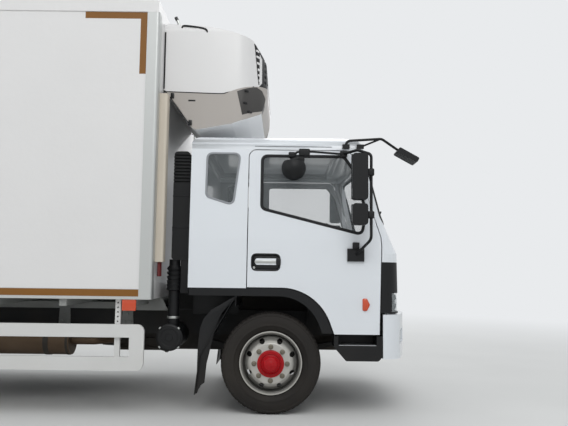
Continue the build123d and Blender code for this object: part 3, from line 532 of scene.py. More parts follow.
def tube(name, points, radius, body, finish):
    """A smooth tube through points."""
    line = bpy.data.curves.new(name, "CURVE")
    line.dimensions = "3D"
    line.bevel_depth = radius
    line.bevel_resolution = 3
    line.use_fill_caps = True
    spline = line.splines.new("NURBS")
    spline.points.add(len(points) - 1)
    for point, place in zip(spline.points, points):
        point.co = (*place, 1)
    spline.order_u = 3
    spline.use_endpoint_u = True
    spline.resolution_u = 6
    put(name, line)
    bpy.ops.object.convert(target="MESH")
    return dress(bpy.context.object, body, finish)


def ring_outline(corners, radius):
    """Points round a closed outline in a plane, with rounded corners."""
    made = []
    count = len(corners)
    for i in range(count):
        before, here, after = (Vector(corners[(i + k) % count]) for k in (-1, 0, 1))
        into, away = (before - here).normalized(), (after - here).normalized()
        half = into.angle(away) / 2
        room = EDGE_SHARE * min((before - here).length, (after - here).length)
        back = min(radius / math.tan(half), room)
        start, end = here + into * back, here + away * back
        for k in range(CORNER_STEPS + 1):
            t = k / CORNER_STEPS
            made.append(start * (1 - t) ** 2 + here * 2 * t * (1 - t) + end * t ** 2)
    return made


def band(name, outline, place, width, low, high):
    """A flat band round an outline: width wide, from low to high above its surface.

    place(a, b, height) puts a point of the outline in space.
    """
    centre = sum(outline, Vector((0, 0))) / len(outline)
    mesh = bpy.data.meshes.new(name)
    build = bmesh.new()
    rows = []
    count = len(outline)
    for i in range(count):
        before, here, after = outline[i - 1], outline[i], outline[(i + 1) % count]
        run = (after - before).normalized()
        side = Vector((run.y, -run.x))
        if side.dot(here - centre) < 0:
            side = -side
        inner = here - side * width * INNER_SHARE
        outer = here + side * width * (1 - INNER_SHARE)
        rows.append([build.verts.new(place(p.x, p.y, h))
                     for p, h in ((inner, low), (inner, high), (outer, high), (outer, low))])
    for i in range(count):
        one, two = rows[i], rows[(i + 1) % count]
        for k in range(4):
            build.faces.new((one[k], one[(k + 1) % 4], two[(k + 1) % 4], two[k]))
    bmesh.ops.recalc_face_normals(build, faces=build.faces)
    build.to_mesh(mesh)
    build.free()
    return soften(put(name, mesh), min(width, abs(high - low)) * 0.25, 2, 50)


def turned(name, profile, place, axis="Y", steps=64, closed=False):
    """Turns a profile of (radius, distance along the axis) about an axis.

    place is a point, or the matrix that facing gives.
    """
    edges = [(i, i + 1) for i in range(len(profile) - 1)]
    if closed:
        edges.append((len(profile) - 1, 0))
    piece = drawn(name, [(r, a, 0) for r, a in profile], edges)
    bpy.ops.mesh.spin(steps=steps, angle=2 * math.pi, center=(0, 0, 0), axis=(0, 1, 0))
    bpy.ops.mesh.select_all(action="SELECT")
    bpy.ops.mesh.remove_doubles(threshold=WELD)
    bpy.ops.mesh.normals_make_consistent(inside=False)
    shut()
    turn = {"X": Matrix.Rotation(-math.pi / 2, 4, "Z"), "Y": Matrix.Identity(4),
            "Z": Matrix.Rotation(math.pi / 2, 4, "X")}[axis]
    base = place if isinstance(place, Matrix) else Matrix.Translation(place)
    piece.data.transform(base @ turn)
    return piece


def plate(name, corners, radius, place, low, high, edge):
    """A plate with a rounded outline, from low to high above its surface."""
    outline = ring_outline(corners, radius) if radius else [Vector(c) for c in corners]
    piece = drawn(name, [place(p.x, p.y, low) for p in outline], faces=[list(range(len(outline)))])
    first = outline[0]
    rise = Vector(place(first.x, first.y, high)) - Vector(place(first.x, first.y, low))
    bpy.ops.mesh.extrude_region_move(TRANSFORM_OT_translate={"value": rise})
    bpy.ops.mesh.select_all(action="SELECT")
    bpy.ops.mesh.normals_make_consistent(inside=False)
    shut()
    return soften(piece, edge, 2, 50)


def add_plates(place, body, label, rows):
    """Dressed plates from rows of name, finish, corners, radius, low, high and edge."""
    for name, finish, corners, radius, low, high, edge in rows:
        dress(plate(name.format(label), corners, radius, place, low, high, edge), body, finish)


def wall(name, line, y0, y1, thick, side):
    """A thin wall that follows a line of (x, z) points, from y0 to y1."""
    piece = drawn(name, [(AXLE_X + x, side * y0, z) for x, z in line],
                  [(i, i + 1) for i in range(len(line) - 1)])
    bpy.ops.mesh.extrude_region_move(TRANSFORM_OT_translate={"value": (0, side * (y1 - y0), 0)})
    shut()
    return modify(piece, "SOLIDIFY", thickness=thick, offset=0)


def soft_block(name, low, high, width, segments=3):
    """A block with softened edges."""
    return soften(block(name, low, high), width, segments)


def add_block(name, low, high, width, finish, body="truck", segments=3):
    """A block with softened edges, dressed."""
    return dress(soft_block(name, low, high, width, segments), body, finish)


def cad_copy(node, name, test):
    """A merged copy of the part of a node whose faces pass a test of their place."""
    made = opened(put(name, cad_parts[node].data.copy()))
    bpy.ops.mesh.remove_doubles(threshold=CAD_WELD)
    pick(made, "faces", lambda place: not test(place))
    bpy.ops.mesh.delete(type="FACE")
    shut()
    return made


# Surfaces: each gives a function that places (along or across, up, out from the surface)

def box_corners(x0, x1, z0, z1):
    """Corners of an upright rectangle."""
    return [(x0, z0), (x1, z0), (x1, z1), (x0, z1)]


def centred(x, z, half_x, half_z):
    """Corners of an upright rectangle about its middle."""
    return box_corners(x - half_x, x + half_x, z - half_z, z + half_z)


def cab_side(z):
    """Half width of the cab's side at a height: upright to the belt, then leaning in."""
    half, belt, inwards, rise = 1.060, 1.450, 0.040, 0.940
    return half - inwards * max(0.0, z - belt) / rise


def side_place(side):
    """Places points on a side of the cab."""
    return lambda x, z, h: (AXLE_X + x, side * (cab_side(z) + h), z)


def upright(side):
    """Places points on upright planes along the truck, at a distance from its middle."""
    return lambda x, z, y: (AXLE_X + x, side * y, z)


def rear_place(x):
    """Places points on a face that looks backwards at some x."""
    return lambda y, z, h: (x - h, y, z)


def front_place(x):
    """Places points on a face that looks forwards at some x."""
    return lambda y, z, h: (x + h, y, z)


# Cargo box

class TRUCK_OT_box_trim(bpy.types.Operator):
    """Marking strips on the sides of the box"""

    bl_idname = "truck.box_trim"
    bl_label = "Box trim"

    def execute(self, context):
        width = sizes().strip_width
        low_z = BOX_LOW.z + 0.024
        top_z = 3.310
        post_x = BOX_FRONT - 0.104
        # One along the lower edge trim, and two that make a corner high on the skin's front
        strips = [((BOX_REAR + 0.11, low_z), (post_x - 0.002, low_z + width), BOX_SIDE, 0.0018),
                  ((post_x - 0.53, top_z), (post_x, top_z + width), BOX_HIGH.y, 0.001),
                  ((post_x - width, 2.83), (post_x, top_z), BOX_HIGH.y, 0.001)]
        pieces = [soft_block("strip", (x0, face - sunk, z0), (x1, face + 0.0012, z1), 0.0005, 1)
                  for (x0, z0), (x1, z1), face, sunk in strips]
        left = dress(join("marking_strips_left", pieces), "truck", "marking_tape")
        right = opened(copy_of(left, "marking_strips_right", Matrix.Scale(-1, 4, (0, 1, 0))))
        bpy.ops.mesh.flip_normals()
        shut()
        dress(right, "truck", "marking_tape")
        return {"FINISHED"}


# Side windows

# Corners of each opening, the seal's share of the width in the settings, and its finish
SEALS = {
    "door_seal": ([(-0.090, 1.714), (-0.090, 2.163), (0.600, 2.163), (0.690, 2.040),
                   (0.785, 1.700), (0.753, 1.505)], 1.0, "seal_rubber"),
    "quarter_seal": ([(-0.565, 1.812), (-0.562, 2.181), (-0.285, 2.181), (-0.338, 1.742)],
                     0.7, "grey_seal"),
}


class TRUCK_OT_window_seals(bpy.types.Operator):
    """Rubber seals round the side windows"""

    bl_idname = "truck.window_seals"
    bl_label = "Window seals"

    def execute(self, context):
        for name, (corners, share, finish) in SEALS.items():
            for side, label in SIDES:
                body = f"door_{label}" if name == "door_seal" else "truck"
                ring = band(f"{name}_{label}", ring_outline(corners, 0.045), side_place(side),
                            sizes().seal_width * share, -0.012, 0.004)
                dress(ring, body, finish)
        return {"FINISHED"}


# Wheels

TREAD = [(0.4200, 0.0000), (0.4200, 0.0150), (0.4090, 0.0175), (0.4090, 0.0245), (0.4200, 0.0270),
         (0.4198, 0.0540), (0.4085, 0.0565), (0.4085, 0.0635), (0.4192, 0.0660), (0.4175, 0.0900),
         (0.4120, 0.1040), (0.4040, 0.1110), (0.3960, 0.1135), (0.3935, 0.1165), (0.3895, 0.1168),
         (0.3870, 0.1150), (0.3700, 0.1195), (0.3480, 0.1235), (0.3330, 0.1238), (0.3180, 0.1222),
         (0.3150, 0.1236), (0.3100, 0.1230), (0.3080, 0.1200), (0.2950, 0.1130), (0.2790, 0.1020),
         (0.2700, 0.0950), (0.2665, 0.0885), (0.2480, 0.0830), (0.2620, 0.0590)]


def push_in(piece, depth, test):
    """Pushes the faces that pass a test into the piece, with walls round them."""
    opened(piece)
    pick(piece, "faces", test)
    bpy.ops.mesh.extrude_region_shrink_fatten(TRANSFORM_OT_shrink_fatten={"value": -depth})
    shut()


class TRUCK_OT_tyres(bpy.types.Operator):
    """Treaded tyres in place of the plain ones"""

    bl_idname = "truck.tyres"
    bl_label = "Tyres"

    def execute(self, context):
        steps = sizes().tread_blocks * 3
        ring = TREAD + [(r, -w) for r, w in reversed(TREAD[1:])]
        tyre = turned("tyre", ring, (0, 0, 0), steps=steps, closed=True)

        def slice_of(place):
            """Number of the slice round the tyre that a place is in."""
            return int(round((math.atan2(place.z, place.x) / (2 * math.pi) + 1) * steps - 0.5))

        def lug(place):
            """Grooves across the shoulder, one in three slices."""
            reach = math.hypot(place.x, place.z)
            return 0.402 < reach < 0.419 and abs(place.y) > 0.070 and slice_of(place) % 3 == 0

        def sipe(place):
            """Narrow cuts in the ribs, one in six slices."""
            reach = math.hypot(place.x, place.z)
            ribs = abs(place.y) < 0.012 or 0.030 < abs(place.y) < 0.050
            return reach > 0.4150 and ribs and slice_of(place) % 6 == 1

        push_in(tyre, 0.007, lug)
        push_in(tyre, 0.004, sipe)
        for node, kind, x, tracks in (("tyre_front", "wheel_front", AXLE_X, (FRONT_TRACK,)),
                                      ("tyres_rear", "wheels_rear", REAR_AXLE_X, TWIN_TRACKS)):
            for side, label in SIDES:
                copies = [copy_of(tyre, "copy", Matrix.Translation((x, side * y, AXLE_Z)))
                          for y in tracks]
                made = join(f"{node}_{label}_tread", copies)
                dress(made, f"{kind}_{label}", "tyre_rubber", 40)
                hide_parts(f"{node}_{label}")
        bpy.data.objects.remove(tyre)
        return {"FINISHED"}


WASHER = [(0, 0), (0.0215, 0), (0.0215, 0.0030), (0.0190, 0.0045), (0, 0.0045)]
STUD = [(0, 0.018), (0.0095, 0.018), (0.0095, 0.033), (0.0080, 0.035), (0, 0.035)]


def wheel_nut():
    """A hex nut on its washer with the stud's end, about Y, seated at Y = 0."""
    clear_selection()
    bpy.ops.mesh.primitive_cylinder_add(
        vertices=6, radius=sizes().nut_width * 0.5 / math.cos(math.pi / 6), depth=0.024,
        location=(0, 0.0145, 0), rotation=(math.pi / 2, 0, 0))
    nut = soften(settle(bpy.context.object), 0.0016)
    washer = turned("washer", WASHER, (0, 0, 0), steps=24)
    stud = turned("stud", STUD, (0, 0, 0), steps=16)
    return join("wheel_nut", [nut, washer, stud])


NUTS = 8
NUT_CIRCLE = 0.1375
HUB_COVER = [(0.0830, 0.0002), (0.1120, 0.0002), (0.1120, 0.0065), (0.1070, 0.0095),
             (0.0960, 0.0105), (0.0945, 0.0130), (0.0900, 0.0130), (0.0885, 0.0165),
             (0.0865, 0.0260), (0.0840, 0.0270), (0.0830, 0.0270)]
HUB_CAP = [(0.0, 0.0640), (0.0100, 0.0636), (0.0200, 0.0618), (0.0290, 0.0585), (0.0320, 0.0570),
           (0.0440, 0.0570), (0.0470, 0.0558), (0.0475, 0.0540), (0.0, 0.0540)]


class TRUCK_OT_wheel_trim(bpy.types.Operator):
    """Wheel nuts, hub covers and hub caps"""

    bl_idname = "truck.wheel_trim"
    bl_label = "Wheel trim"

    def execute(self, context):
        random.seed(7)
        nut = wheel_nut()
        # The last value is where the nuts sit, from the truck's middle
        for axle, kind, x, seat_y in (("front", "wheel_front", AXLE_X, FRONT_TRACK + 0.1395),
                                      ("rear", "wheels_rear", REAR_AXLE_X, 0.8760)):
            for side, label in SIDES:
                nuts = []
                for i in range(NUTS):
                    spin = (Matrix.Rotation(i * 2 * math.pi / NUTS, 4, "Y")
                            @ Matrix.Translation((NUT_CIRCLE, 0, 0)))
                    spread = Matrix.Rotation(random.uniform(0, 1), 4, "Y")
                    nuts.append(copy_of(nut, "nut", Matrix.Translation((x, side * seat_y, AXLE_Z))
                                        @ spin @ facing(side, 0, 0, 0) @ spread))
                body = f"{kind}_{label}"
                dress(join(f"wheel_nuts_{axle}_{label}", nuts), body, "dull_zinc")
                seat = facing(side, x, seat_y, AXLE_Z)
                cover = turned(f"hub_cover_{axle}_{label}", HUB_COVER, seat, closed=True)
                dress(cover, body, "hub_enamel", 30)
                if axle == "front":
                    seat = facing(side, x, seat_y - 0.0010, AXLE_Z)
                    cap = turned(f"hub_cap_front_{label}", HUB_CAP, seat, steps=48, closed=True)
                    dress(cap, body, "hub_enamel", 30)
        bpy.data.objects.remove(nut)
        return {"FINISHED"}


# Doors

HANDLE_SEAT = box_corners(-0.168, 0.064, 1.192, 1.324)
# Plates on a door, as add_plates takes them
DOOR_PLATES = [
    ("handle_cup_{}", "gloss_black_abs", box_corners(-0.166, 0.062, 1.194, 1.322), 0.038, -0.0245,
     -0.0205, 0.001),
    ("handle_pull_{}", "zinc_plate", box_corners(-0.146, 0.036, 1.246, 1.276), 0.013, -0.004, 0.006,
     0.004),
    ("handle_pivot_{}", "gloss_black_abs", box_corners(0.034, 0.0745, 1.232, 1.294), 0.014, -0.004,
     0.0085, 0.003),
    ("door_marker_base_{}", "orange_lens",
     [(0.759, 0.862), (0.797, 0.862), (0.822, 0.914), (0.797, 0.966), (0.759, 0.966)], 0.016,
     0.0002, 0.0045, 0.001),
    ("door_marker_lens_{}", "orange_lens",
     [(0.763, 0.867), (0.795, 0.867), (0.817, 0.914), (0.795, 0.961), (0.763, 0.961)], 0.016,
     0.0040, 0.0165, 0.006),
]
DOOR_LOCK = [(0, 0), (0.0105, 0), (0.0105, 0.0075), (0.0085, 0.009), (0.0030, 0.009),
             (0.0030, 0.0075), (0, 0.0075)]


class TRUCK_OT_door_fittings(bpy.types.Operator):
    """Handles, locks and marker lamps of the cab doors"""

    bl_idname = "truck.door_fittings"
    bl_label = "Door fittings"

    def execute(self, context):
        for side, label in SIDES:
            body = f"door_{label}"
            add_plates(side_place(side), body, label, DOOR_PLATES)
            rim = band(f"handle_rim_{label}", ring_outline(HANDLE_SEAT, 0.040), side_place(side),
                       0.013, -0.020, 0.003)
            dress(rim, body, "gloss_black_abs")
            lock = turned(f"door_lock_{label}", DOOR_LOCK,
                          facing(side, AXLE_X - 0.150, 1.052, 1.212), steps=24)
            dress(lock, body, "zinc_plate")
        return {"FINISHED"}


# Mirrors, windscreen and wipers

def nose_x(y, z):
    """Reach of the cab's front from the front axle, at a place above the belt."""
    # The belt line, and how far the front leans back over its height
    belt_x, belt_z, back, rise = 0.995, 1.587, 0.218, 0.813
    # Half width of the flat middle and of the bow, and the corner post's middle and radius
    flat, bow, post_y, radius = 0.450, 0.922, 0.910, 0.150
    reach = belt_x - (z - belt_z) * back / rise
    across = abs(y)
    if across < flat:
        return reach
    if across < bow:
        return reach - 0.045 * (across - flat) / 0.610
    return reach - 0.185 + math.sqrt(max(radius ** 2 - (across - post_y) ** 2, 0.0))


def nose_place(y, z, h):
    """Places points on the slope of the windscreen."""
    lean = 0.268
    return (AXLE_X + nose_x(y, z) + h, y, z + h * lean)


KERB_MIRROR_Y = -1.160


class TRUCK_OT_mirrors(bpy.types.Operator):
    """Glass, rims and clamps of the mirrors"""

    bl_idname = "truck.mirrors"
    bl_label = "Mirrors"

    def execute(self, context):
        black = "black_polypropylene"
        place = rear_place(AXLE_X + 0.652)
        for side, label in SIDES:
            body = f"door_{label}"
            y0, y1 = sorted((side * 1.200, side * 1.280))
            for name, low, high in (("main", 1.785, 2.143), ("wide", 1.579, 1.729)):
                corners = box_corners(y0, y1, low, high)
                glass = plate(f"mirror_glass_{name}_{label}", corners, 0.020, place, -0.001, 0.0012,
                              edge=0.0006)
                dress(glass, body, "mirror_silver")
                rim = band(f"mirror_rim_{name}_{label}", ring_outline(corners, 0.020), place, 0.008,
                           -0.002, 0.004)
                dress(rim, body, black)
            y = side * 1.250
            for z in (2.000, 1.650):
                add_block(f"mirror_clamp_{label}_{int(z * 10)}",
                          (AXLE_X + 0.778, y - 0.026, z - 0.030),
                          (AXLE_X + 0.830, y + 0.026, z + 0.030), 0.010, black, body)
            y0, y1 = sorted((side * (cab_side(1.400) - 0.001), side * 1.098))
            add_block(f"mirror_foot_{label}", (AXLE_X + 0.674, y0, 1.376),
                      (AXLE_X + 0.730, y1, 1.432), 0.006, black, body)
        start = Vector((AXLE_X, KERB_MIRROR_Y, 0))
        for name, low, high, width in (
                ("clamp", (0.214, -0.030, 2.140), (0.306, 0.018, 2.204), 0.010),
                ("neck", (0.206, -0.018, 2.085), (0.262, 0.018, 2.150), 0.008),
                ("knob", (0.128, -0.022, 2.128), (0.186, 0.022, 2.176), 0.010)):
            add_block(f"kerb_mirror_{name}", start + Vector(low), start + Vector(high), width,
                      black, "door_right")
        return {"FINISHED"}


# Tubes of a wiper, from its pivot: name, radius, finish and points
WIPER_LINES = [
    ("arm", 0.0065, "gloss_black_abs",
     [(0, 1.560, 0.014), (0, 1.575, 0.030), (-0.10, 1.625, 0.034), (-0.36, 1.690, 0.022)]),
    ("blade", 0.0075, "seal_rubber",
     [(-0.04, 1.662, 0.010), (-0.36, 1.684, 0.010), (-0.70, 1.708, 0.010)]),
]
WIPER_BASE = [(0, 0), (0.024, 0), (0.022, 0.016), (0.014, 0.024), (0, 0.024)]


class TRUCK_OT_windscreen_trim(bpy.types.Operator):
    """Seal of the windscreen and the wipers"""

    bl_idname = "truck.windscreen_trim"
    bl_label = "Windscreen trim"

    def execute(self, context):
        # Corners alone would cut across the screen's bow, so the outline gets points between
        dense = []
        ring = ring_outline(box_corners(-0.985, 0.985, 1.612, 2.183), 0.070)
        for a, b in zip(ring, ring[1:] + ring[:1]):
            count = max(int((b - a).length / 0.05), 1)
            dense += [a.lerp(b, k / count) for k in range(count)]
        dress(band("windscreen_seal", dense, nose_place, 0.030, -0.012, 0.004), "truck",
              "seal_rubber")
        for i, pivot in enumerate((-0.160, 0.560)):
            for name, radius, finish, line in WIPER_LINES:
                tube(f"wiper_{name}_{i}", [nose_place(pivot + y, z, h) for y, z, h in line], radius,
                     "truck", finish)
            base = turned(f"wiper_base_{i}", WIPER_BASE, nose_place(pivot, 1.558, -0.002), "X",
                          steps=24)
            dress(base, "truck", "gloss_black_abs")
        return {"FINISHED"}


# Cooling unit

def unit_side(x):
    """Half width of the cooling unit at a distance from the front axle.

    A flat side, a corner of 190 mm, a straight cheek, and the nose's corner of 300 mm.
    """
    if x < -0.368:
        return 0.885
    if x < -0.223:
        return 0.695 + math.sqrt(0.190 ** 2 - (x + 0.368) ** 2)
    if x < -0.131:
        return 0.818 - 1.185 * (x + 0.223)
    return 0.5155 + math.sqrt(max(0.300 ** 2 - (x + 0.360) ** 2, 0.0))


def unit_place(side):
    """Places points on a side of the cooling unit, round its front corner too."""
    def place(x, z, h):
        lean = (unit_side(x + 0.001) - unit_side(x - 0.001)) / 0.002
        out = Vector((-lean, 1.0)).normalized() * h
        return (AXLE_X + x + out.x, side * (unit_side(x) + out.y), z)
    return place


# Black cheek beside the front grille, and the ends of the white louvres on it
CHEEK = [(-0.196, 3.256), (-0.185, 3.191), (-0.171, 3.059), (-0.158, 2.930), (-0.150, 2.876),
         (-0.144, 2.876), (-0.144, 3.186)]
TEETH = [(-0.1770, -0.150, 3.186), (-0.1745, -0.146, 3.132), (-0.1680, -0.145, 3.074),
         (-0.1620, -0.145, 3.016), (-0.1570, -0.145, 2.966), (-0.1520, -0.145, 2.918)]
# Plates on a side of the unit, as add_plates takes them
UNIT_PLATES = [
    ("unit_cheek_{}", "gloss_black_abs", CHEEK, 0.006, -0.0010, 0.0016, 0.0005),
    *((f"unit_tooth_{{}}_{i}", "abs_shell",
       [(x0, z - 0.010), (x1, z - 0.014), (x1, z + 0.007), (x0, z + 0.010)], 0.004, 0.001, 0.004,
       0.001) for i, (x0, x1, z) in enumerate(TEETH)),
    *((f"unit_latch_{{}}_{i}", "gloss_black_abs", centred(x, z, 0.017, 0.009), 0.005, 0.0005, 0.007,
       0.002) for i, (x, z) in enumerate(((-0.253, 2.784), (-0.262, 2.673), (-0.223, 2.600)))),
    *((f"unit_clip_{{}}_{i}", "gloss_black_abs", centred(x, z, 0.016, 0.024), 0.006, -0.001, 0.010,
       0.003) for i, (x, z) in enumerate(((-0.905, 2.722), (-0.742, 2.480)))),
    ("unit_vent_{}", "gloss_black_abs", box_corners(-0.765, -0.700, 2.674, 2.688), 0.0065, -0.001,
     0.0015, 0.0005),
]
# Tubes on a side of the unit: name, radius, finish and points
UNIT_LINES = [
    ("seam", 0.0042, "seal_rubber",
     [(-0.985, 2.760, -0.0005), (-0.700, 2.752, -0.0005), (-0.460, 2.746, -0.0005),
      (-0.440, 2.752, -0.0005), (-0.300, 2.803, -0.0005), (-0.190, 2.843, -0.0005)]),
    ("gasket", 0.0085, "seal_rubber",
     [(-0.9835, 3.300, -0.001), (-0.9835, 3.050, -0.001), (-0.9835, 2.785, -0.001)]),
    ("edge", 0.0042, "seal_rubber",
     [(-0.978, 2.771, 0.0), (-0.893, 2.668, 0.0), (-0.815, 2.559, 0.0), (-0.741, 2.456, 0.0)]),
    ("grip", 0.0085, "gloss_black_abs",
     [(-0.838, 3.345, -0.012), (-0.836, 3.366, -0.008), (-0.800, 3.368, -0.006),
      (-0.680, 3.352, -0.004), (-0.632, 3.340, 0.0), (-0.612, 3.322, 0.002),
      (-0.610, 3.308, -0.006)]),
]
EXHAUST_Y = -0.845
EXHAUST = [(-0.866, 3.340), (-0.870, 3.385), (-0.880, 3.415), (-0.893, 3.440)]
EXHAUST_TIP = [(-0.888, 3.428), (-0.902, 3.456), (-0.902, 3.456)]


class TRUCK_OT_unit_trim(bpy.types.Operator):
    """Side panels, seams, latches, handles and exhaust of the cooling unit"""

    bl_idname = "truck.unit_trim"
    bl_label = "Cooling unit trim"

    def execute(self, context):
        # The frame's node holds the front grille above this height and the side panels below it
        split = 2.855
        grille = cad_copy("unit_grille", "unit_front_grille", lambda p: p.z > split)
        dress(soften(grille, 0.001, 1), "truck", "gloss_black_abs")
        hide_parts("unit_grille")
        for side, label in SIDES:
            panel = cad_copy("unit_grille", f"unit_panel_{label}",
                             lambda p: p.z < split and p.y * side > 0)
            dress(soften(panel, 0.001), "truck", "dark_panel_abs")
            place = unit_place(side)
            add_plates(place, "truck", label, UNIT_PLATES)
            for name, radius, finish, line in UNIT_LINES:
                tube(f"unit_{name}_{label}", [place(*point) for point in line], radius, "truck",
                     finish)
        for name, line, radius, finish in (("exhaust", EXHAUST, 0.0125, "zinc_plate"),
                                           ("exhaust_tip", EXHAUST_TIP, 0.0155, "gloss_black_abs")):
            tube(f"unit_{name}", [(AXLE_X + x, EXHAUST_Y, z) for x, z in line], radius, "truck",
                 finish)
        return {"FINISHED"}


# Air intake and hoses

def repeated(profile, count, pitch):
    """A profile repeated along its axis."""
    return [(r, a + i * pitch) for i in range(count) for r, a in profile]


FOLD = [(0.0665, 0.010), (0.0665, 0.020), (0.0545, 0.027), (0.0545, 0.034)]
BELLOWS = [(0.050, 0.0), *repeated(FOLD, 6, 0.035), (0.050, 0.216), (0.047, 0.216), (0.047, 0.0)]
CLIP_RING = [(0.0400, 0.0), (0.0515, 0.0), (0.0525, 0.003), (0.0525, 0.017), (0.0515, 0.020),
             (0.0400, 0.020)]
CLEANER_CAP = [(0, -0.0120), (0.030, -0.0120), (0.034, -0.0080), (0.070, -0.0080), (0.074, -0.0110),
               (0.096, -0.0110), (0.104, -0.0060), (0.1125, -0.0040), (0.1135, 0.0080),
               (0.1100, 0.0100), (0, 0.0010)]
# Red hose end below the cover, 122 mm long with 12 ribs
RIB = [(0.0140, 0.003), (0.0140, 0.007), (0.0122, 0.009), (0.0122, 0.012)]
SLEEVE = [(0.0105, 0.0), *repeated(RIB, 12, 0.010), (0.0105, 0.122)]


class TRUCK_OT_intake_trim(bpy.types.Operator):
    """Bellows, joints and the cleaner's cap of the air intake, and the hose sleeves"""

    bl_idname = "truck.intake_trim"
    bl_label = "Intake trim"

    def execute(self, context):
        for name, profile, x, z, steps, finish in (
                ("bellows", BELLOWS, -0.848, 1.005, 48, "seal_rubber"),
                ("clip", CLIP_RING, -0.850, 0.769, 40, "zinc_plate")):
            made = turned(f"intake_{name}", profile, (AXLE_X + x, -0.850, z), "Z", steps,
                          closed=True)
            dress(made, "truck", finish, 50)
        for i, z in enumerate((1.550, 1.825)):
            add_block(f"intake_joint_{i}", (AXLE_X - 0.873, -0.913, z - 0.006),
                      (AXLE_X - 0.722, -0.787, z + 0.006), 0.004, "seal_rubber", segments=2)
        x, z = AXLE_X - 0.862, 0.614
        cap = turned("cleaner_cap", CLEANER_CAP, (x, -0.951, z))
        dress(cap, "truck", "black_polypropylene", 30)
        rim = 0.113
        for i in range(4):
            angle = math.pi / 4 + i * math.pi / 2
            clip = soft_block(f"cleaner_clip_{i}", (-0.010, -0.030, -0.006), (0.010, 0.012, 0.006),
                              0.002, 2)
            at = (x + rim * math.cos(angle), -0.938, z + rim * math.sin(angle))
            turn = Matrix.Rotation(math.pi / 2 - angle, 4, "Y")
            clip.data.transform(Matrix.Translation(at) @ turn)
            dress(clip, "truck", "zinc_plate")
        for i in range(3):
            at = (AXLE_X - 0.956, -1.013 + i * 0.028, 1.1285)
            sleeve = turned(f"hose_sleeve_{i}", SLEEVE, at, "Z", steps=24)
            dress(sleeve, "truck", "red_hose", 50)
        return {"FINISHED"}


# Lamps

# Parts of the frame's lamp node on a side: name, test of a place ahead of the front axle and its
# height, width and segments of the soft edge, and finish
LAMP_PARTS = [
    ("headlamp_lens", lambda x, z: x > 0.9 and z > 0.80, None, "lamp_glass"),
    ("fog_lamp", lambda x, z: x > 0.9 and z < 0.80, (0.003, 2), "silver_reflector"),
    ("side_marker", lambda x, z: -1.4 < x < -1.0, (0.006, 3), "orange_lens"),
    ("tail_lamp", lambda x, z: x < -6.0, (0.008, 3), "black_polypropylene"),
]
BOWL = [(0, -0.006), (0.020, -0.005), (0.040, 0.004), (0.056, 0.018), (0.060, 0.026),
        (0.0630, 0.026), (0.0600, 0.014), (0.040, -0.002), (0, -0.012)]
BULB = [(0, 0), (0.010, 0), (0.012, 0.008), (0.010, 0.018), (0, 0.022)]
TAIL_LENSES = [(0.712, 0.822, "red_lens"), (0.828, 0.938, "orange_lens"),
               (0.944, 0.994, "silver_reflector"), (1.000, 1.048, "red_lens")]


class TRUCK_OT_lamps(bpy.types.Operator):
    """Headlamps, fog lamps, marker lamps and tail lamps"""

    bl_idname = "truck.lamps"
    bl_label = "Lamps"

    def execute(self, context):
        tail = rear_place(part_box("underrun_bar")[0].x)
        for side, label in SIDES:
            for name, test, edge, finish in LAMP_PARTS:
                made = cad_copy("lamps", f"{name}_{label}",
                                lambda p: p.y * side > 0 and test(p.x - AXLE_X, p.z))
                if edge:
                    soften(made, *edge)
                dress(made, "truck", finish)
                if name == "headlamp_lens":
                    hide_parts("lamps")
            for i, (y, x) in enumerate(((0.725, 1.048), (0.862, 1.038))):
                at = (AXLE_X + x, side * y, 0.934)
                for name, profile, steps in (("bowl", BOWL, 40), ("bulb", BULB, 24)):
                    made = turned(f"headlamp_{name}_{label}_{i}", profile, at, "X", steps)
                    dress(made, "truck", "silver_reflector")
            for i, (y0, y1, finish) in enumerate(TAIL_LENSES):
                corners = box_corners(*sorted((side * y0, side * y1)), 0.562, 0.668)
                add_plates(tail, "truck", label, [(f"tail_lens_{{}}_{i}", finish, corners, 0.010,
                                                   -0.002, 0.012, 0.004)])
        return {"FINISHED"}


# Rear doors

class TRUCK_OT_rear_trim(bpy.types.Operator):
    """Seals of the rear doors and the lamps over them"""

    bl_idname = "truck.rear_trim"
    bl_label = "Rear trim"

    def execute(self, context):
        for side, label in SIDES:
            corners = box_corners(*sorted((side * 0.022, side * 1.052)), 1.083, 3.347)
            seal = band(f"door_seal_{label}_rear", ring_outline(corners, 0.02),
                        rear_place(DOOR_FACE), 0.030, -0.002, 0.007)
            dress(seal, f"rear_door_{label}", "seal_rubber")
        for i, y in enumerate((-1.02, -0.34, 0.34, 1.02)):
            add_plates(rear_place(BOX_REAR), "truck", i, [
                ("top_lamp_base_{}", "black_polypropylene", centred(y, 3.420, 0.060, 0.020), 0.018,
                 -0.001, 0.006, 0.002),
                ("top_lamp_lens_{}", "red_lens", centred(y, 3.420, 0.052, 0.015), 0.014, 0.005,
                 0.018, 0.006)])
        return {"FINISHED"}


# Cab body

GUARD_BACK = [(-0.300, 0.975), (-0.416, 0.904), (-0.500, 0.856), (-0.563, 0.781), (-0.592, 0.697),
              (-0.605, 0.571), (-0.607, 0.415), (-0.607, 0.259), (-0.625, 0.166)]
GUARD_FRONT = [(-0.604, 0.172), (-0.585, 0.228), (-0.545, 0.260), (-0.530, 0.416), (-0.504, 0.530),
               (-0.480, 0.635), (-0.450, 0.741), (-0.415, 0.825), (-0.363, 0.889), (-0.305, 0.940)]
# Plates low on a side of the cab, as add_plates takes them
CAB_PLATES = [
    ("guard_lip_{}", "black_polypropylene", GUARD_BACK + GUARD_FRONT, 0, 1.036, 1.045, 0.003),
    ("splash_panel_{}", "black_polypropylene", box_corners(-0.700, -0.296, 0.800, 1.036), 0.012,
     0.700, 0.706, 0.002),
    ("cab_support_{}", "chassis_paint",
     [(-0.990, 0.821), (-0.915, 1.030), (-0.699, 1.030), (-0.699, 0.821)], 0.012, 0.385, 0.393,
     0.002),
]
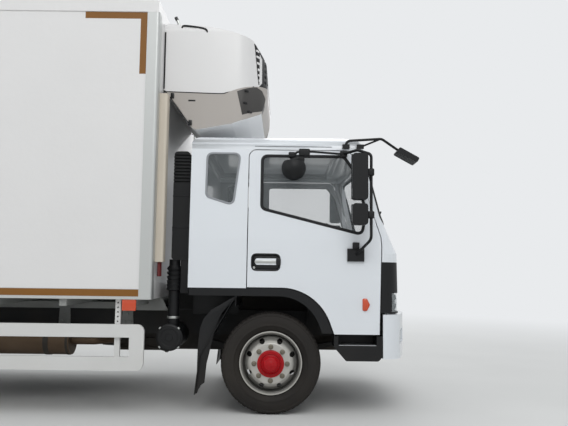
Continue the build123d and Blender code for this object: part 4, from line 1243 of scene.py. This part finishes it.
# The rendered roof stood too high, so what lies above this height is lowered to this share
ROOF_EDGE = 2.250
ROOF_SHARE = 0.68


class TRUCK_OT_cab_trim(bpy.types.Operator):
    """Roof skin, drip rails, step treads, guards behind the wheels and splash panels"""

    bl_idname = "truck.cab_trim"
    bl_label = "Cab body trim"

    def execute(self, context):
        black = "black_polypropylene"
        roof = opened(cad_copy("cab_roof", "cab_roof_skin", lambda p: True))
        pick(roof, "verts", lambda place: place.z > ROOF_EDGE + 0.0001)
        bpy.ops.transform.resize(value=(1, 1, ROOF_SHARE), center_override=(0, 0, ROOF_EDGE))
        shut()
        dress(roof, "truck", "roof_enamel")
        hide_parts("cab_roof")
        for side, label in SIDES:
            y = side * (cab_side(ROOF_EDGE) + 0.0005)
            tube(f"drip_rail_{label}", [(AXLE_X + x, y, ROOF_EDGE) for x in (-0.16, 0.0, 0.2, 0.5)],
                 0.0035, "truck", "grey_seal")
            add_plates(upright(side), "truck", label, CAB_PLATES)
            skin = wall(f"guard_skin_{label}", GUARD_BACK, 0.740, 1.040, 0.005, side)
            dress(skin, "truck", black)
            y0, y1 = sorted((side * 0.860, side * 1.047))
            tread = [block("tread", (AXLE_X + 0.564, y0, 0.5745), (AXLE_X + 0.876, y1, 0.5790))]
            for i in range(19):
                x = AXLE_X + 0.572 + i * 0.016
                tread.append(block("rib", (x, y0, 0.5785), (x + 0.006, y1, 0.5815)))
            dress(soften(join(f"step_tread_{label}", tread), 0.0008, 1), "truck", "mill_aluminium")
            y0, y1 = sorted((side * 0.930, side * 1.052))
            for name, x, z0, z1, finish in (("closer", 0.9145, 0.475, 0.655, black),
                                            ("seal", 0.9235, 0.655, 0.832, "seal_rubber")):
                add_block(f"bumper_{name}_{label}", (AXLE_X + x, y0, z0), (AXLE_X + 0.9315, y1, z1),
                          0.002, finish)
        # Bracket that carries the intake below its upper duct
        add_block("intake_bracket", (AXLE_X - 0.790, -0.905, 0.985),
                  (AXLE_X - 0.716, -0.800, 1.290), 0.006, black)
        return {"FINISHED"}


# Underbody

GEARBOX = [(0, -1.780), (0.070, -1.780), (0.072, -1.735), (0.055, -1.725), (0.060, -1.700),
           (0.120, -1.690), (0.150, -1.670), (0.155, -1.560), (0.170, -1.550), (0.170, -1.535),
           (0.155, -1.525), (0.165, -1.330), (0.185, -1.320), (0.185, -1.300), (0.170, -1.290),
           (0.185, -1.150), (0.205, -1.060), (0.215, -1.055), (0.215, -1.035), (0, -1.035)]
BOLT = [(0, 0.007), (0.018, 0.007), (0.018, 0.011), (0.0135, 0.012), (0.0130, 0.024), (0, 0.025)]
TANK_CAP = [(0, 0), (0.046, 0), (0.046, 0.020), (0.058, 0.022), (0.060, 0.045), (0.054, 0.052),
            (0, 0.054)]
GUSSET = ("body_gusset_{}", "bearer_paint",
          [(-1.300, 0.822), (-0.930, 0.822), (-0.992, 0.938), (-1.060, 0.938), (-1.300, 0.930)],
          0.010, 0.640, 0.646, 0.002)


class TRUCK_OT_underbody(bpy.types.Operator):
    """Gearbox, body brackets, gussets, muffler bands, tank straps and the battery's lid"""

    bl_idname = "truck.underbody"
    bl_label = "Underbody"

    def execute(self, context):
        crank = Matrix.Translation((AXLE_X, 0.0, 0.590))
        pieces = [turned("gearbox", GEARBOX, crank, "X", steps=48)]
        for i in range(10):
            rib = block("rib", (-1.535, -0.004, 0.150), (-1.060, 0.004, 0.196))
            rib.data.transform(crank @ Matrix.Rotation(i * math.pi / 5, 4, "X"))
            pieces.append(rib)
        dress(join("gearbox", pieces), "truck", "cast_iron")
        for side, label in SIDES:
            pieces = []
            for x in (-1.350, -1.937, -2.900, -3.700, -5.500, -6.500):
                foot = [(x + dx, z) for dx, z in ((-0.055, 0.680), (-0.035, 0.660), (0.035, 0.660),
                                                  (0.055, 0.680), (0.045, 0.900), (-0.045, 0.900))]
                pieces.append(plate("foot", foot, 0.012, upright(side), 0.399, 0.408, edge=0.002))
                for dx, z in ((-0.026, 0.700), (0.026, 0.700), (0.0, 0.768)):
                    pieces.append(turned("bolt", BOLT, facing(side, AXLE_X + x + dx, 0.400, z),
                                         steps=12))
            dress(join(f"body_feet_{label}", pieces), "truck", "bearer_paint")
            add_plates(upright(side), "truck", label, [GUSSET])
        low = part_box("muffler")[0]
        radius = 0.125
        pieces = []
        for x, half, rise in ((-2.650, 0.022, 0.004), (-1.950, 0.022, 0.004),
                              (-1.772, 0.010, 0.003)):
            ring = box_corners(radius - 0.0005, radius + rise, -half, half)
            at = (AXLE_X + x, low.y + radius, low.z + radius)
            pieces.append(turned("band", ring, at, "X", closed=True))
        dress(join("muffler_bands", pieces), "truck", "cast_iron")
        low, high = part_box("fuel_tank")
        round_tank = ring_outline(box_corners(high.y - 0.570, high.y, low.z, high.z), 0.104)
        for i, x in enumerate((-2.440, -1.840)):
            strap = band(f"tank_strap_{i}", round_tank, front_place(AXLE_X + x), 0.008, 0.0, 0.050)
            dress(strap, "truck", "zinc_plate")
        at = (AXLE_X - 1.620, high.y - 0.170, high.z - 0.012)
        dress(turned("tank_cap", TANK_CAP, at, "Z", 48), "truck", "black_polypropylene", 30)
        low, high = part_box("battery_box")
        pieces = [soft_block("lid", (low.x - 0.006, high.y - 0.524, high.z - 0.055),
                             (high.x + 0.006, high.y + 0.006, high.z + 0.006), 0.008)]
        for x in (low.x + 0.110, high.x - 0.110):
            pieces.append(soft_block("latch", (x - 0.022, high.y - 0.004, high.z - 0.130),
                                     (x + 0.022, high.y + 0.012, high.z - 0.020), 0.004))
        for x in (low.x + 0.020, low.x + 0.165, high.x - 0.175, high.x - 0.030):
            pieces.append(soft_block("rib", (x, high.y - 0.004, low.z + 0.030),
                                     (x + 0.010, high.y + 0.005, high.z - 0.140), 0.002))
        dress(join("battery_lid", pieces), "truck", "black_polypropylene")
        return {"FINISHED"}


# Seats

CLOTH_STEPS = 20


def pad(name, low, high, lean, bulge):
    """A stuffed pad between two corners: remeshed, blown up a little by cloth, and smoothed.

    lean slides its top back, and bulge is the most that a point may move.
    """
    piece = soft_block(name, low, high, 0.028)
    shear = Matrix.Identity(4)
    shear[0][2] = lean
    base = Matrix.Translation((0, 0, low[2]))
    piece.data.transform(base @ shear @ base.inverted())
    modify(piece, "REMESH", mode="VOXEL", voxel_size=0.018)
    still = [v.co.copy() for v in piece.data.vertices]
    only(piece)
    cloth = piece.modifiers.new("Cloth", "CLOTH")
    cloth.settings.use_pressure = True
    cloth.settings.uniform_pressure_force = 4
    cloth.settings.effector_weights.gravity = 0
    cloth.point_cache.frame_start = 1
    cloth.point_cache.frame_end = CLOTH_STEPS
    for step in range(1, CLOTH_STEPS + 1):
        bpy.context.scene.frame_set(step)
    bpy.ops.object.modifier_apply(modifier=cloth.name)
    bpy.context.scene.frame_set(1)
    for vertex, start in zip(piece.data.vertices, still):
        move = vertex.co - start
        if move.length > bulge:
            vertex.co = start + move.normalized() * bulge
    return modify(piece, "SUBSURF", levels=1, render_levels=1)


def sewn(piece, places, depth, width):
    """Draws a pad in along sewn channels, at places across the truck."""
    centre = sum((v.co for v in piece.data.vertices), Vector()) / len(piece.data.vertices)
    for vertex in piece.data.vertices:
        pull = max(math.exp(-((vertex.co.y - place) / width) ** 2) for place in places)
        toward = centre - vertex.co
        toward.y = 0
        if toward.length > 0.001:
            vertex.co += toward.normalized() * depth * pull


class TRUCK_OT_seats(bpy.types.Operator):
    """Padded seats on their boxes"""

    bl_idname = "truck.seats"
    bl_label = "Seats"

    def execute(self, context):
        x = AXLE_X
        for name, y, half, places in (("driver", 0.520, 0.250, (0.375, 0.665)),
                                      ("bench", -0.400, 0.460, (-0.720, -0.545, -0.255, -0.080))):
            low_y, high_y = y - half + 0.012, y + half - 0.012
            for part, low, high, lean, bulge in (
                    ("cushion", (x - 0.205, low_y, 1.225), (x + 0.252, high_y, 1.352), 0.0, 0.014),
                    ("back", (x - 0.325, low_y, 1.215), (x - 0.232, high_y, 1.945), -0.120, 0.012)):
                made = pad(f"seat_{part}_{name}", low, high, lean, bulge)
                sewn(made, places, 0.010, 0.008)
                dress(made, "truck", "seat_cloth", 60)
                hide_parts("seats")
            stand = add_block(f"seat_box_{name}", (x - 0.200, y - half + 0.060, 1.040),
                              (x + 0.180, y + half - 0.060, 1.235), 0.012, "dash_vinyl")
            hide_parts("seats")
        return {"FINISHED"}


# Studio

BACKDROP = "#E9EBED"
# Area lights: name, place, size in metres and power in watts
LIGHTS = [("key", (4, -9, 9), 7.0, 430), ("fill", (-9, -6, 6), 8.0, 200),
          ("left", (2, 10, 8), 8.0, 300)]
LIT_PLACE = Vector((0.5, 0, 1.5))
# The camera: ahead of the front axle, off to the truck's right, and height, with tilt and roll in
# degrees
EYE_AHEAD = 0.096
EYE_DISTANCE = 6.44
EYE_HEIGHT = 1.175
EYE_TILT = 95.3
EYE_ROLL = 0.7


def backdrop_floor():
    """Matt pale floor that fades into the backdrop with distance, for the camera alone."""
    made, tree = blank("studio_floor")
    place = add(tree, "TexCoord").outputs["Object"]
    cloud = add(tree, "TexNoise", {"Vector": place, "Scale": 0.8, "Detail": 3.0})
    tone = add(tree, "Mix", {"Factor": cloud, 6: linear("#CBCBC9"), 7: linear("#D4D4D2")},
               data_type="RGBA")
    shader = add(tree, "BsdfPrincipled", {"Base Color": tone, "Roughness": 0.9})
    away = add(tree, "VectorMath", {0: place}, operation="LENGTH")
    fade = add(tree, "MapRange", {"Value": away, "From Min": 6.0, "From Max": 15.0},
               interpolation_type="SMOOTHSTEP")
    seen = add(tree, "LightPath").outputs["Is Camera Ray"]
    amount = add(tree, "Math", {0: fade, 1: seen}, operation="MULTIPLY")
    haze = add(tree, "Emission", {"Color": linear(BACKDROP), "Strength": 1.0})
    mixed = add(tree, "MixShader", {0: amount, 1: shader, 2: haze})
    add(tree, "OutputMaterial", {"Surface": mixed})
    return made


def backdrop_world():
    """Soft light that grows with height, behind an even backdrop that eye and gloss see."""
    world = bpy.data.worlds.new("studio")
    world.use_nodes = True
    tree = world.node_tree
    tree.nodes.clear()
    rays = add(tree, "LightPath")
    seen = rays.outputs["Is Camera Ray"]
    for kind in ("Is Glossy Ray", "Is Transmission Ray"):
        seen = add(tree, "Math", {0: seen, 1: rays.outputs[kind]}, operation="MAXIMUM")
    up = add(tree, "TexCoord").outputs["Generated"]
    height = add(tree, "SeparateXYZ", {"Vector": up}).outputs["Z"]
    glow = add(tree, "MapRange", {"Value": height, "To Min": 0.46, "To Max": 1.05})
    soft = add(tree, "Background", {"Color": linear("#F2F5F8"), "Strength": glow})
    back = add(tree, "Background", {"Color": linear(BACKDROP), "Strength": 1.0})
    both = add(tree, "MixShader", {0: seen, 1: soft, 2: back})
    add(tree, "OutputWorld", {"Surface": both})
    return world


class TRUCK_OT_stage(bpy.types.Operator):
    """Floor, soft light and the camera"""

    bl_idname = "truck.stage"
    bl_label = "Stage"

    def execute(self, context):
        clear_selection()
        bpy.ops.mesh.primitive_plane_add(size=120, location=(0, 0, 0))
        floor = bpy.context.object
        floor.name = "studio_floor"
        floor.data.materials.append(backdrop_floor())
        context.scene.world = backdrop_world()

        for name, place, size, power in LIGHTS:
            light = bpy.data.lights.new(name, "AREA")
            light.size = size
            light.energy = power
            lamp = put(name, light)
            lamp.location = place
            aim = LIT_PLACE - Vector(place)
            lamp.rotation_euler = aim.to_track_quat("-Z", "Y").to_euler()

        camera = bpy.data.cameras.new("camera")
        camera.lens = sizes().lens_mm
        camera.sensor_width = 36.0
        camera.clip_end = 300
        eye = put("camera", camera)
        spot = Matrix.Translation((AXLE_X + EYE_AHEAD, -EYE_DISTANCE, EYE_HEIGHT))
        tilt = Matrix.Rotation(math.radians(EYE_TILT), 4, "X")
        roll = Matrix.Rotation(math.radians(EYE_ROLL), 4, "Z")
        eye.matrix_world = spot @ (tilt @ roll)
        context.scene.camera = eye
        context.scene.view_settings.view_transform = "Standard"
        return {"FINISHED"}


class TRUCK_PT_panel(bpy.types.Panel):
    """Sidebar panel with the truck's operators"""

    bl_idname = "TRUCK_PT_panel"
    bl_label = "Truck"
    bl_space_type = "VIEW_3D"
    bl_region_type = "UI"
    bl_category = "Truck"

    def draw(self, context):
        for made in OPERATORS:
            self.layout.operator(made.bl_idname)
        for group in (context.scene.truck_looks, context.scene.truck_sizes):
            for name in group.__annotations__:
                self.layout.prop(group, name)


OPERATORS = (TRUCK_OT_finishes, TRUCK_OT_stage, TRUCK_OT_box_trim, TRUCK_OT_window_seals,
             TRUCK_OT_tyres, TRUCK_OT_wheel_trim, TRUCK_OT_door_fittings, TRUCK_OT_mirrors,
             TRUCK_OT_windscreen_trim, TRUCK_OT_unit_trim, TRUCK_OT_intake_trim, TRUCK_OT_lamps,
             TRUCK_OT_rear_trim, TRUCK_OT_cab_trim, TRUCK_OT_underbody, TRUCK_OT_seats)
GROUPS = (TruckLooks, TruckSizes)


def register():
    """Registers the classes and the settings."""
    for made in GROUPS + OPERATORS + (TRUCK_PT_panel,):
        bpy.utils.register_class(made)
    bpy.types.Scene.truck_looks = bpy.props.PointerProperty(type=TruckLooks)
    bpy.types.Scene.truck_sizes = bpy.props.PointerProperty(type=TruckSizes)


def unregister():
    """Removes the settings and the classes."""
    del bpy.types.Scene.truck_looks
    del bpy.types.Scene.truck_sizes
    for made in reversed(GROUPS + OPERATORS + (TRUCK_PT_panel,)):
        bpy.utils.unregister_class(made)


def main():
    """Builds everything."""
    register()
    for made in OPERATORS:
        group, name = made.bl_idname.split(".")
        getattr(getattr(bpy.ops, group), name)()


if __name__ == "__main__":
    main()
